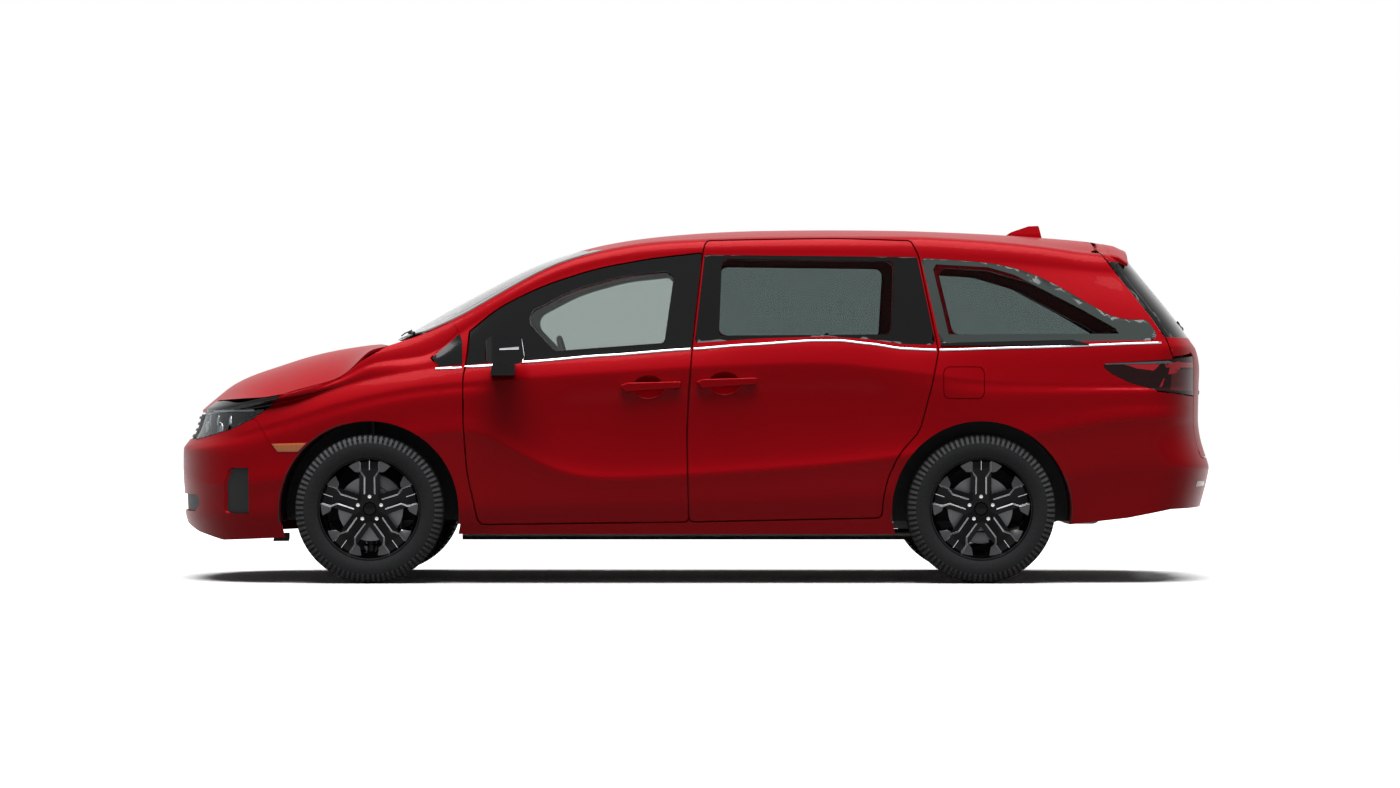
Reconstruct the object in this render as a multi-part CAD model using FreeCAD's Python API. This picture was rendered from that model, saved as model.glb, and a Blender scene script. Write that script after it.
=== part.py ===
import FreeCAD, Part
import math
import os
from FreeCAD import Vector

# A minivan with two hinged front doors, two sliding rear doors and a lifting tailgate.
# Millimetres, +Z up. The nose points along -X and the car's left side is at -Y.
# The origin is on the ground, below the middle of the car.

# Overall sizes
NOSE_X = -2601.0
TAIL_X = 2601.0
FRONT_AXLE_X = -1603.0
WHEELBASE = 3000.0
REAR_AXLE_X = FRONT_AXLE_X + WHEELBASE
HALF_TRACK = 855.0
HALF_WIDTH = 990.0
HUB_Z = 366.0
SILL_Z = 242.0
SKIN_BOTTOM_Z = 150.0
FLOOR_Z = 262.0
REAR_FLOOR_Z = 470.0

# Stations and rows of the skin's control net
NOSE_SIDE_X = -2000.0
NOSE_STEPS = 10
SIDE_STEPS = 44
TAIL_STEPS = 8
COLUMNS = NOSE_STEPS + SIDE_STEPS + TAIL_STEPS + 1
TAIL_JOIN_X = 1100.0
ROW_TILT = [0] * 22 + [15, 30, 50, 62, 75, 90]
NOSE_TILT = [0] * 17 + [8, 10, 12, 14, 18, 26, 34, 40, 42, 44, 44]
TAIL_TILT = [0] * 17 + [10, 20, 28, 32, 34, 36, 37, 38, 38, 38, 38]
ROWS = len(ROW_TILT)
TOP_ROWS = 9
ROOF_EDGE_IN = 62.0

# Panel thicknesses and the gaps between panels
SHUT_GAP = 7.0
LAMP_GAP = 6.0
PANEL_DEPTH = 45.0
RECESS_DEPTH = 50.0
SIDE_DEPTH = 90.0
RAIL_WIDTH = 22.0
ARCH_RADIUS = 438.0
LAMP_INNER_Y = 472.0
RECESS_SIZE = Vector(79, 26, 60)

# Hinges: axes, pins and running fits
PIN = 6.0
RUN_FIT = 0.05
HINGE_X = -1205.0
HINGE_Y = -922.0
HINGE_HEIGHTS = (655.0, 880.0)
HINGE_CLEARANCE = 6.0
FLAP_X = 1190.0
FLAP_Y = -(HALF_WIDTH - 43.0)
HOOD_AXIS_X = -1480.0
HOOD_AXIS_Z = 1148.0
TAILGATE_AXIS_X = 1966.0
TAILGATE_AXIS_Z = 1678.0
ROOF_NOSE = 36.0
GATE_RELIEF = ROOF_NOSE + 5.5

# Wheels, hubs and steering
TYRE_RADIUS = HUB_Z
TYRE_HALF = 117.0
RIM_SEAT = 244.0
SPINDLE = 28.0
SPOKE_BAR = [(34, 4, 0), (34, 25, 0), (120, 29, 0), (240, 50, 0), (240, 11, 0), (120, 6, 0)]
SPOKE_RIDGE = [(44, 8, 0), (44, 21, 0), (120, 25, 0), (240, 45, 0), (240, 16, 0), (120, 10, 0)]
SPOKE_WEDGE = [(240, 44, 0), (240, 112, 0), (210, 104, 0), (150, 52, 0), (112, 28, 0), (112, 20, 0)]
STEER_FOOT = (FRONT_AXLE_X, 778.0, 190.0)
STEER_TOP = (FRONT_AXLE_X, 622.0, 850.0)

# Outlines in the left side view, as (x, z, corner radius)
FRONT_DOOR = [(-1118, 1236, 12), (-1130, 1096, 600), (-1145, 1018, 500), (-1143, 805, 800),
              (-1125, 553, 600), (-1068, 289, 40), (-36, 302, 25), (-47, 738, 3000),
              (-20, 1158, 3000), (32, 1628, 14), (-213, 1600, 1500), (-487, 1551, 1500),
              (-761, 1463, 1500), (-981, 1352, 1500)]
SLIDING_DOOR = [(-36, 302, 25), (-47, 738, 3000), (-20, 1158, 3000), (34, 1640, 60),
                (48, 1690, 40), (690, 1701, 3000), (1062, 1688, 30), (1099, 1615, 200),
                (1189, 1141, 60), (1156, 978, 400), (1101, 769, 300), (1080, 731, 120),
                (992, 633, 300), (937, 517, 300), (914, 409, 400), (910, 322, 30)]
FRONT_GLASS = [(-858, 1312, 60), (-607, 1445, 800), (-356, 1514, 800), (-146, 1536, 22),
               (-112, 1505, 20), (-157, 1180, 25), (-695, 1140, 40)]
SLIDING_GLASS = [(-8, 1180, 12), (41, 1618, 12), (1092, 1606, 16), (1176, 1170, 20),
                 (1014, 1174, 300), (850, 1198, 300), (640, 1212, 600), (312, 1202, 600)]
SLIDING_CLEAR = [(110, 1216, 40), (125, 1592, 40), (972, 1582, 40), (956, 1222, 40)]
QUARTER_GLASS = [(1199, 1178, 14), (1110, 1602, 16), (1271, 1592, 900), (1455, 1578, 900),
                 (1577, 1553, 900), (1699, 1509, 900), (1821, 1444, 900), (1944, 1370, 900),
                 (2042, 1316, 200), (2115, 1298, 200), (2222, 1296, 30), (2292, 1194, 30)]
QUARTER_CLEAR = [(1262, 1222, 40), (1190, 1552, 40), (1440, 1538, 300), (1660, 1474, 400),
                 (1900, 1350, 300), (2080, 1260, 40), (2100, 1226, 20)]
HEAD_LAMP = [(-2486, 704, 14), (-2300, 752, 500), (-2180, 808, 300), (-2100, 862, 200),
             (-2046, 921, 0), (-2120, 908, 300), (-2260, 900, 400), (-2440, 888, 30),
             (-2540, 850, 30), (-2560, 730, 30)]
TAIL_LAMP = [(1978, 1076, 14), (2340, 1100, 200), (2560, 1128, 20), (2600, 1010, 60),
             (2580, 908, 20), (2262, 947, 300), (2127, 984, 200), (2042, 1026, 100)]
GATE_GLASS = [(2078, 1578, 10), (2236, 1596, 40), (2700, 1590, 0), (2700, 1213, 0), (2338, 1209, 12),
              (2276, 1307, 400)]
FUEL_FLAP = [(1214, 908, 30), (1409, 908, 30), (1409, 1060, 30), (1214, 1060, 30)]
TAIL_SEAM = [(1968, 1800), (1968, 1682), (2041, 1577), (2246, 1303), (2313, 1199), (2345, 1105)]
BUMPER_SEAM = [(1735, 697), (2054, 742), (2164, 764), (2201, 806), (2262, 941)]
NOSE_SEAM = [(-1930, 645), (-2055, 645), (-2085, 679), (-2162, 800)]
HOOD_SIDE = [(-2049, 921), (-1886, 965), (-1757, 1004), (-1647, 1092), (-1520, 1166)]
WINDSCREEN_FOOT = [(-1400, 1206), (-1318, 1237)]

# Outlines in plan, as (x, y), and in the front view, as (y, z, corner radius)
GLASS_FOOT = [(-1330, -790), (-1420, -600), (-1486, -350), (-1512, -120), (-1512, 120),
              (-1486, 350), (-1420, 600), (-1330, 790)]
HEADER = [(-470, -640), (-540, -480), (-585, -300), (-604, -120), (-604, 120), (-585, 300),
          (-540, 480), (-470, 640)]
LOWER_GRILLE = [(-560, 345, 30), (-640, 390, 20), (-600, 430, 20)]
VENT = [(-905, 340, 20), (-800, 340, 20), (-830, 566, 20), (-915, 566, 20)]


def curve(*points):
    """A smooth function through (x, value) points that never overshoots them."""
    xs = [p[0] for p in points]
    vs = [p[1] for p in points]
    steps = [(vs[i + 1] - vs[i]) / (xs[i + 1] - xs[i]) for i in range(len(xs) - 1)]
    slopes = [steps[0]]
    for a, b in zip(steps, steps[1:]):
        slopes.append(0.0 if a * b <= 0 else 2 * a * b / (a + b))
    slopes.append(steps[-1])

    def value(x):
        if x <= xs[0]:
            return vs[0]
        if x >= xs[-1]:
            return vs[-1]
        i = max(k for k in range(len(xs) - 1) if xs[k] <= x)
        h = xs[i + 1] - xs[i]
        t = (x - xs[i]) / h
        return (vs[i] * (1 + 2 * t) * (1 - t) ** 2 + slopes[i] * h * t * (1 - t) ** 2
                + vs[i + 1] * t * t * (3 - 2 * t) + slopes[i + 1] * h * t * t * (t - 1))

    return value


# Heights along the car of the lines that the side skin follows
sill_line = curve((-2601, 330), (-2100, 330), (-1070, 366), (-37, 388), (912, 420),
                  (1400, 460), (1740, 505), (2240, 563), (2601, 560))
swoosh_line = curve((-2601, 450), (-2000, 520), (-1500, 700), (-1108, 750), (-869, 640),
                    (-704, 563), (-594, 530), (-430, 516), (-212, 524), (248, 553),
                    (576, 578), (959, 617), (1400, 690), (1740, 746), (2240, 813), (2601, 800))
shoulder_line = curve((-2601, 655), (-2100, 780), (-1700, 900), (-1305, 973), (-815, 1011),
                      (-320, 1044), (248, 1076), (600, 1087), (905, 1061), (1178, 1026),
                      (1412, 1000), (1800, 990), (2601, 985))
belt_line = curve((-2601, 800), (-2050, 880), (-1600, 1000), (-1300, 1050), (-1143, 1069),
                  (-815, 1096), (-472, 1118), (-31, 1149), (312, 1180), (640, 1191),
                  (851, 1179), (1040, 1149), (1184, 1145), (1488, 1159), (2296, 1171), (2601, 1171))
frame_line = curve((-2601, 860), (-2100, 905), (-1850, 965), (-1700, 1030), (-1600, 1090),
                   (-1450, 1105), (-1301, 1125), (-1168, 1236), (-1036, 1318), (-872, 1422),
                   (-707, 1505), (-542, 1560), (-377, 1593), (-213, 1609), (31, 1626),
                   (700, 1622), (1091, 1609), (1500, 1590), (1900, 1560), (2601, 1500))
rail_line = curve((-2601, 893), (-2058, 921), (-1999, 941), (-1774, 1004), (-1724, 1033),
                  (-1665, 1092), (-1605, 1147), (-1467, 1175), (-1191, 1287), (-987, 1404),
                  (-821, 1497), (-711, 1550), (-612, 1586), (-457, 1624), (-215, 1663),
                  (7, 1676), (400, 1688), (1000, 1690), (1500, 1672), (1928, 1640), (2200, 1608), (2601, 1600))

# Half widths along the car
widest = curve((-2000, 940), (-1603, 975), (-1100, 980), (0, HALF_WIDTH), (900, HALF_WIDTH + 2),
               (1400, 990), (1800, 972), (2100, 950), (2250, 930))
rail_width = curve((-2000, 885), (-1774, 868), (-1605, 840), (-1467, 820), (-1191, 785),
                   (-987, 760), (-711, 727), (-457, 706), (0, 692), (1000, 690), (1500, 680),
                   (1928, 655), (2230, 628))

# Where the skin's front and rear ends lie, by height
nose_end = curve((150, -2530), (230, -2560), (290, -2588), (450, -2596), (510, NOSE_X),
                 (655, NOSE_X), (720, -2545), (848, -2507), (893, -2450), (960, -2390))
tail_end = curve((150, 2480), (330, 2530), (380, 2565), (430, TAIL_X), (480, 2600), (603, 2585),
                 (660, 2555), (800, 2535), (1000, 2540), (1102, 2545), (1148, 2532),
                 (1180, 2500), (1255, 2453), (1388, 2351), (1464, 2290), (1560, 2212), (1700, 2100))
tail_corner = curve((150, 380), (600, 380), (1100, 330), (1200, 230), (1600, 180))


def lerp(a, b, t):
    return a + (b - a) * t


def row_heights(x):
    """Heights of the skin's control rows at a station along the car."""
    a, s, c, d = SKIN_BOTTOM_Z, sill_line(x), swoosh_line(x), shoulder_line(x)
    b, f, k = belt_line(x), frame_line(x), rail_line(x)
    return [a, lerp(a, s, 0.5), s - 16, s + 16, lerp(s, c, 0.5), c - 40, c - 9, c + 9, c + 45,
            lerp(c, d, 0.35), lerp(c, d, 0.6), lerp(c, d, 0.8), d - 30, d - 6, d + 6,
            lerp(d, b, 0.5), b - 10, b + 6, lerp(b, f, 0.25), lerp(b, f, 0.5),
            lerp(b, f, 0.75), f - 8, f + 8, lerp(f, k, 0.6), k, k + 16, k + 23, k + 26]


def row_widths(x):
    """Half widths of the skin's control rows at a station along the car."""
    w, k = widest(x), rail_width(x)
    f = k + 0.4 * (rail_line(x) - frame_line(x))
    door = max(0.0, min(1.0, (x + 1150) / 500)) * max(0.0, min(1.0, (1350 - x) / 400))
    hollow = lerp(14, 34, door)
    g = w - 86
    return [w - 75, w - 52, w - 26, w - 18, w - 14, w - 9, w - 3, w - 3, w - lerp(8, 20, door),
            w - hollow, w - hollow - 2, w - lerp(20, 34, door), w - 33, w - 34, w - 38,
            w - 55, w - 74, g, lerp(g, f, 0.25) + 8, lerp(g, f, 0.5) + 11,
            lerp(g, f, 0.75) + 8, f + 3, f, lerp(f, k, 0.5) + 1, k - 4, k - 28, k - 60, k - 95]


def column_x(i):
    if i <= NOSE_STEPS:
        return lerp(NOSE_X, NOSE_SIDE_X, (i / NOSE_STEPS) ** 1.6)
    if i <= NOSE_STEPS + SIDE_STEPS:
        return lerp(NOSE_SIDE_X, 2200.0, (i - NOSE_STEPS) / SIDE_STEPS)
    return lerp(2200.0, TAIL_X, ((i - NOSE_STEPS - SIDE_STEPS) / TAIL_STEPS) ** 0.7)


def skin_point(i, k, inset):
    """Control point of the side skin at column i (from the nose round the left side to the
    tail) and row k, moved inwards by inset. Negative columns lie on the right side."""
    side = -1.0 if i >= 0 else 1.0
    i = abs(i)
    nominal = column_x(i)
    z = row_heights(nominal)[k]
    w = row_widths(nominal)[k]
    tilt = math.radians(ROW_TILT[k])
    if i < NOSE_STEPS:
        a = math.radians(90.0 * i / NOSE_STEPS)
        w = row_widths(NOSE_SIDE_X)[k]
        tilt = math.radians(lerp(NOSE_TILT[k], ROW_TILT[k], math.sin(a) ** 2))
        end = nose_end(z)
        x = end + (NOSE_SIDE_X - end) * (1 - math.cos(a) ** 0.9)
        y = w * math.sin(a) ** 0.85
        nx, ny = math.cos(a), math.sin(a)
    elif i <= NOSE_STEPS + SIDE_STEPS:
        x = nominal
        join = tail_end(z) - tail_corner(z)
        if x > TAIL_JOIN_X:
            x = lerp(TAIL_JOIN_X, join, (x - TAIL_JOIN_X) / (2200.0 - TAIL_JOIN_X))
        y = row_widths(x)[k]
        nx, ny = 0.0, 1.0
    else:
        a = math.radians(90.0 * (COLUMNS - 1 - i) / TAIL_STEPS)
        join = tail_end(z) - tail_corner(z)
        w = row_widths(join)[k]
        tilt = math.radians(lerp(TAIL_TILT[k], ROW_TILT[k], math.sin(a) ** 2))
        x = join + tail_corner(z) * math.cos(a) ** 0.8
        y = w * math.sin(a) ** 0.8
        nx, ny = -math.cos(a), math.sin(a)
    flat = math.cos(tilt)
    return Vector(x + inset * nx * flat, side * (y - inset * ny * flat), z - inset * math.sin(tilt))


def knots(n):
    inner = n - 3
    return [float(v) for v in range(inner + 1)], [4] + [1] * (inner - 1) + [4]


def net_surface(net):
    """A cubic spline surface that follows a net of control points."""
    ku, mu = knots(len(net))
    kv, mv = knots(len(net[0]))
    s = Part.BSplineSurface()
    s.buildFromPolesMultsKnots(net, mu, mv, ku, kv, False, False, 3, 3)
    return s


def slab(outer, inner):
    """The solid between two nets of the same size."""
    a, b = net_surface(outer), net_surface(inner)
    fa, fb = a.toShape(), b.toShape()
    u0, u1, v0, v1 = a.bounds()
    faces = [fa, fb]
    for t, kind in ((u0, "u"), (u1, "u"), (v0, "v"), (v1, "v")):
        ca = a.uIso(t) if kind == "u" else a.vIso(t)
        cb = b.uIso(t) if kind == "u" else b.vIso(t)
        faces.append(Part.makeRuledSurface(ca.toShape(), cb.toShape()))
    shell = Part.makeShell(faces)
    shell.sewShape()
    solid = Part.makeSolid(shell)
    if solid.Volume < 0:
        solid.reverse()
    return solid


def skin_slab(c0, c1, r0, r1, out, inn):
    outer = [[skin_point(i, k, out) for k in range(r0, r1 + 1)] for i in range(c0, c1 + 1)]
    inner = [[skin_point(i, k, inn) for k in range(r0, r1 + 1)] for i in range(c0, c1 + 1)]
    return slab(outer, inner)


# Basic shapes
def box(x0, x1, y0, y1, z0, z1):
    return Part.makeBox(x1 - x0, y1 - y0, z1 - z0, Vector(x0, y0, z0))


def rod(radius, a, b):
    a, b = Vector(*a), Vector(*b)
    return Part.makeCylinder(radius, (b - a).Length, a, b - a)


def tube(outer, inner, a, b):
    return rod(outer, a, b).cut(rod(inner, a, b))


def join(*shapes):
    """One body out of shapes that overlap."""
    first, rest = shapes[0], list(shapes[1:])
    return first.fuse(rest).removeSplitter() if rest else first


def right(shape):
    """The same piece on the other side of the car."""
    return shape.mirror(Vector(0, 0, 0), Vector(0, 1, 0))


def both(shape):
    return Part.makeCompound([shape, right(shape)])


def settled(points):
    """Limits each corner radius to what the neighbouring edges leave room for."""
    out = []
    n = len(points)
    for i in range(n):
        x, z, r = points[i]
        a = Vector(points[i - 1][0] - x, points[i - 1][1] - z, 0)
        b = Vector(points[(i + 1) % n][0] - x, points[(i + 1) % n][1] - z, 0)
        half = a.getAngle(b) / 2
        room = 0.49 * min(a.Length, b.Length)
        out.append((x, z, min(r, room * math.tan(half)) if half < 1.565 else 0.0))
    return out


def grown(points, d):
    """An outline moved outwards by d all round."""
    points = settled(points)
    n = len(points)
    turn = sum(points[i - 1][0] * points[i][1] - points[i][0] * points[i - 1][1] for i in range(n))
    s = 1.0 if turn > 0 else -1.0
    out = []
    for i in range(n):
        x, z, r = points[i]
        u = Vector(x - points[i - 1][0], z - points[i - 1][1], 0).normalize()
        v = Vector(points[(i + 1) % n][0] - x, points[(i + 1) % n][1] - z, 0).normalize()
        n1, n2 = Vector(u.y, -u.x, 0) * s, Vector(v.y, -v.x, 0) * s
        m = (n1 + n2) * (d / (1.0 + n1.dot(n2)))
        outward = u.cross(v).z * s > 0
        out.append((x + m.x, z + m.y, max(r + (d if outward else -d), 1.0) if r > 0 else 0.0))
    return out


PLANES = {"xz": lambda a, b, c: Vector(a, c, b), "xy": lambda a, b, c: Vector(a, b, c),
          "yz": lambda a, b, c: Vector(c, a, b)}


def prism(points, plane, c0, c1):
    """The solid inside an outline with rounded corners, between two levels of a plane."""
    at = PLANES[plane]
    points = settled(points)
    n = len(points)
    edges, ends = [], []
    for i in range(n):
        x, z, r = points[i]
        if r <= 0.01:
            ends.append((Vector(x, z, 0), Vector(x, z, 0), None))
            continue
        u = Vector(points[i - 1][0] - x, points[i - 1][1] - z, 0).normalize()
        v = Vector(points[(i + 1) % n][0] - x, points[(i + 1) % n][1] - z, 0).normalize()
        half = u.getAngle(v) / 2
        p = Vector(x, z, 0)
        t = r / math.tan(half)
        mid = p + (u + v).normalize() * (r / math.sin(half) - r)
        ends.append((p + u * t, p + v * t, mid))
    for i in range(n):
        a, b, mid = ends[i]
        if mid is not None:
            arc = Part.Arc(at(a.x, a.y, c0), at(mid.x, mid.y, c0), at(b.x, b.y, c0))
            edges.append(arc.toShape())
        nxt = ends[(i + 1) % n][0]
        if (nxt - b).Length > 0.01:
            edges.append(Part.makeLine(at(b.x, b.y, c0), at(nxt.x, nxt.y, c0)))
    face = Part.Face(Part.Wire(Part.__sortEdges__(edges)))
    return face.extrude(at(0, 0, c1) - at(0, 0, c0))


def side(points, y0=-1400.0, y1=-250.0):
    """A cutter that has an outline of the left side view."""
    return prism(points, "xz", y0, y1)


def half_width(x, z):
    """Half width of the outer skin at a place along the side."""
    zs, ws = row_heights(x), row_widths(x)
    for k in range(len(zs) - 1):
        if z <= zs[k + 1]:
            return lerp(ws[k], ws[k + 1], max(0.0, (z - zs[k]) / (zs[k + 1] - zs[k])))
    return ws[-1]


def panel(outline, out, inn, c0=NOSE_STEPS, c1=COLUMNS - 1):
    """A piece of the left side skin inside an outline, from one depth to another."""
    return skin_slab(c0, c1, 0, ROWS - 1, out, inn).common(side(outline))


crown_line = curve((-2520, 838), (-2479, 873), (-2417, 924), (-2356, 972), (-2295, 1005),
                   (-2234, 1031), (-2112, 1072), (-1989, 1112), (-1867, 1143), (-1745, 1165),
                   (-1623, 1180), (-1560, 1183), (-1439, 1245), (-1317, 1318), (-1195, 1384),
                   (-1072, 1450), (-950, 1516), (-828, 1574), (-705, 1621), (-644, 1640),
                   (-583, 1657), (-461, 1687), (-339, 1708), (-216, 1724), (-94, 1736),
                   (89, 1749), (334, 1758), (670, 1761), (1006, 1758), (1251, 1750),
                   (1496, 1739), (1801, 1719), (1985, 1703), (2107, 1680), (2238, 1651),
                   (2400, 1610))
glass_sweep = curve((-1700, -215), (-1400, -222), (-1100, -215), (-800, -180), (-500, -130),
                    (-200, -60), (100, 0))


def top_net(c0, c1, inset):
    """Net over the roof and windscreen, sharing the side skin's rows at both edges."""
    net = []
    for i in range(c0, c1 + 1):
        left = [skin_point(i, k, inset) for k in range(21, ROWS)]
        edge = skin_point(i, ROWS - 1, 0)
        sweep = glass_sweep(edge.x)
        mid_x = edge.x + sweep
        rise = crown_line(mid_x) - edge.z
        row = list(left)
        slope = (crown_line(mid_x + 20) - crown_line(mid_x - 20)) / 40.0
        for j in range(1, 2 * TOP_ROWS):
            t = j / TOP_ROWS - 1.0
            lift = 1 - t * t
            n = Vector(-slope * lift, 0, 1).normalize()
            p = Vector(edge.x + sweep * lift, -t * edge.y, edge.z + rise * lift)
            row.append(p - n * inset)
        row += [Vector(p.x, -p.y, p.z) for p in reversed(left)]
        net.append(row)
    return net


def top_slab(c0, c1, out, inn):
    return slab(top_net(c0, c1, out), top_net(c0, c1, inn))


def top_opening(grow):
    """Plan cutter between the two body sides: windscreen in front, roof behind."""
    xs = [-1545, -1420, -1340, -1191, -1050, -900, -760, -620, -500, -380, -240, -100, 60, 300, 700,
          1100, 1500, 1800, 1960]
    pts = []
    for x in xs:
        t = max(0.0, min(1.0, (x + 620) / 500))
        pts.append((x, -(rail_width(x) - lerp(26, ROOF_EDGE_IN, t)) - grow, 0))
    pts.append((2300, pts[-1][1], 0))
    loop = pts + [(x, -y, 0) for x, y, _ in reversed(pts)]
    return prism(loop, "xy", 1100, 1900)


def arch_cutter(axle_x, grow, y0=-1400.0, y1=0.0):
    return rod(ARCH_RADIUS + grow, (axle_x, y0, 358), (axle_x, y1, 358))


def body_side(fuel_pocket):
    front = [(-1290, SILL_Z, 0), (1420, SILL_Z, 0), (1420, 560, 0), (1735, 697, 0)]
    rear = [(x, z, 0) for x, z in BUMPER_SEAM] + [(2345, 1105, 0)]
    seam = [(x, z, 0) for x, z in reversed(TAIL_SEAM[:-1])]
    top = [(-640, 1800, 0), (-1345, 1300, 0), (-1318, 1237, 0), (-1290, 1100, 0)]
    body = skin_slab(NOSE_STEPS + 6, COLUMNS - 6, 0, ROWS - 1, 0, SIDE_DEPTH)
    body = body.common(side(front + rear[1:] + seam + top))
    cuts = [top_opening(0.0), arch_cutter(FRONT_AXLE_X, 12), arch_cutter(REAR_AXLE_X, 0)]
    cuts.append(panel(grown(FRONT_DOOR, SHUT_GAP / 2), -12, RECESS_DEPTH, 15, 36))
    cuts.append(panel(grown(SLIDING_DOOR, SHUT_GAP / 2), -12, RECESS_DEPTH, 26, 47).cut(rail_strip(0.0)))
    cuts.append(side(grown(FRONT_DOOR, -46.0)))
    cuts.append(side(grown(SLIDING_DOOR, -40.0)))
    cuts.append(panel(QUARTER_GLASS, -12, 6, 40, COLUMNS - 1))
    cuts.append(side(QUARTER_CLEAR))
    cuts.append(panel(grown(TAIL_LAMP, 1.0), -12, 60, 48, COLUMNS - 1))
    cuts.append(side([(-1400, 100, 0), (-1400, 1240, 0), (-1318, 1240, 0), (-1203, 1290, 0),
                      (-1173, 1238, 0), (-1306, 1107, 0), (-1264, 1061, 0), (-1142, 1068, 0),
                      (-1000, 1068, 0), (-1000, 100, 0)]).common(
        skin_slab(12, 24, 0, ROWS - 1, -12, 8)))
    if fuel_pocket:
        cuts.append(panel(grown(FUEL_FLAP, 3.5), -12, 62, 40, 50))
        cuts.append(panel([(1176, 908, 0), (1300, 908, 0), (1300, 990, 0), (1176, 990, 0)],
                          6, 62, 40, 50))
    for z in HINGE_HEIGHTS:
        cuts.append(rod(20, (HINGE_X, HINGE_Y, z - 27), (HINGE_X, HINGE_Y, z + 27)))
        cuts.append(box(HINGE_X, -1084, -1010, -820, z - 27, z + 27))
    for c in cuts:
        body = body.cut(c)
    pins = [rod(PIN, (HINGE_X, HINGE_Y, z - 33), (HINGE_X, HINGE_Y, z + 33)) for z in HINGE_HEIGHTS]
    if fuel_pocket:
        pins.append(rod(3, (FLAP_X, FLAP_Y, 896), (FLAP_X, FLAP_Y, 1010)))
    return body.fuse(pins)


def with_handle(door, x, z):
    """Cuts the finger recess into a door and fuses its pull handle over it."""
    y = half_width(x + 141, z - 6)
    dish = Part.makeSphere(1.0)
    m = FreeCAD.Matrix()
    m.scale(RECESS_SIZE)
    dish = dish.transformGeometry(m)
    dish.translate(Vector(x + 141, -y - 6, z - 6))
    bar = [(x, z + 2, 6), (x + 37, z + 16, 20), (x + 305, z + 23, 8), (x + 297, z - 11, 14),
           (x + 32, z - 30, 14)]
    bar = prism(bar, "xz", -y - 26, -y - 9)
    outer = [e for e in bar.Edges if abs(e.BoundBox.YMax + y + 26) < 0.1]
    bar = bar.makeFillet(6, outer)
    feet = [box(x + 12, x + 52, -y - 16, -y + 14, z - 22, z + 12),
            box(x + 240, x + 290, -y - 16, -y + 14, z - 10, z + 16)]
    return door.cut(dish).fuse([bar] + feet)


def front_door():
    """Lower panel and window frame of the left front door."""
    outline = grown(FRONT_DOOR, -SHUT_GAP / 2)
    whole = panel(outline, 0, PANEL_DEPTH, 15, 34)
    whole = whole.cut(hinge_sweep()).common(latch_sweep())
    belt = [(-1300, 1000, 0), (-1300, belt_line(-1300), 0)]
    belt += [(x, belt_line(x), 0) for x in (-1143, -980, -815, -650, -472, -250, -31)]
    belt += [(100, belt_line(100), 0), (100, 1000, 0)]
    low = side(belt + [(100, 100, 0), (-1300, 100, 0)])
    lower, frame = whole.common(low), whole.cut(low)
    frame = frame.cut(side(FRONT_GLASS))
    for z in HINGE_HEIGHTS:
        arm = strip([(HINGE_X, HINGE_Y), (-1148, -872), (-1112, -866), (-1112, -930)], 14, "xy",
                    z - 20, z + 20)
        eye = rod(13, (HINGE_X, HINGE_Y, z - 22), (HINGE_X, HINGE_Y, z + 22))
        arm = arm.fuse(eye).cut(rod(PIN + RUN_FIT, (HINGE_X, HINGE_Y, z - 40),
                                    (HINGE_X, HINGE_Y, z + 40)))
        lower = lower.fuse(arm)
    lower = with_handle(lower, -377, 968)
    glass = panel(FRONT_GLASS, 8, 13, 15, 34)
    return lower, frame, glass


def seam_x(z):
    """Place of the front door's leading shut line at a height."""
    pts = sorted([(p[1], p[0]) for p in FRONT_DOOR[:6]])
    return curve(*pts)(z)


def latch_x(z):
    pts = sorted([(p[1], p[0]) for p in FRONT_DOOR[6:10]])
    return curve(*pts)(z)


def around_hinge(profile):
    """Solid of revolution about the front door's hinge axis, from (radius, z) points."""
    pts = [Vector(HINGE_X, HINGE_Y, profile[0][1])]
    pts += [Vector(HINGE_X + r, HINGE_Y, z) for r, z in profile]
    pts += [Vector(HINGE_X, HINGE_Y, profile[-1][1]), pts[0]]
    face = Part.Face(Part.makePolygon(pts))
    return face.revolve(Vector(HINGE_X, HINGE_Y, 0), Vector(0, 0, 1), 360)


def hinge_sweep():
    """Space that the fixed edge ahead of the door keeps clear of the turning door."""
    prof = []
    for z in (200, 320, 420, 553, 680, 805, 900, 1018, 1096, 1180, 1240):
        dx = seam_x(z) - SHUT_GAP / 2 - HINGE_X
        dy = half_width(seam_x(z), z) + HINGE_Y
        prof.append((math.hypot(dx, dy) + HINGE_CLEARANCE, z))
    return around_hinge(prof + [(prof[-1][0], 1300)])


def latch_sweep():
    """Space swept by the door's rear edge about the hinge axis."""
    prof = []
    for z in (200, 302, 500, 738, 950, 1158, 1300, 1450, 1560, 1660):
        dx = latch_x(z) - SHUT_GAP / 2 - HINGE_X
        dy = half_width(latch_x(z), z) + HINGE_Y
        prof.append((math.hypot(dx, dy) + 0.2, z))
    return around_hinge(prof)


def strip(points, width, plane, c0, c1):
    """A bar of even width that follows a bent line."""
    at = PLANES[plane]
    out = []
    for a, b in zip(points, points[1:]):
        u = Vector(b[0] - a[0], b[1] - a[1], 0).normalize() * (width / 2)
        n = Vector(-u.y, u.x, 0)
        p, q = Vector(a[0], a[1], 0), Vector(b[0], b[1], 0)
        quad = [p + n, p - n, q - n, q + n]
        out.append(prism([(v.x, v.y, 0) for v in quad], plane, c0, c1))
    for a in points[1:-1]:
        out.append(Part.makeCylinder(width / 2, c1 - c0, at(a[0], a[1], c0),
                                     at(0, 0, c1) - at(0, 0, c0)))
    return join(*out)


def save(name, shape):
    solids = shape.Solids
    out = solids[0] if len(solids) == 1 else Part.makeCompound(solids)
    out.exportStep("parts/" + name + ".step")


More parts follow.
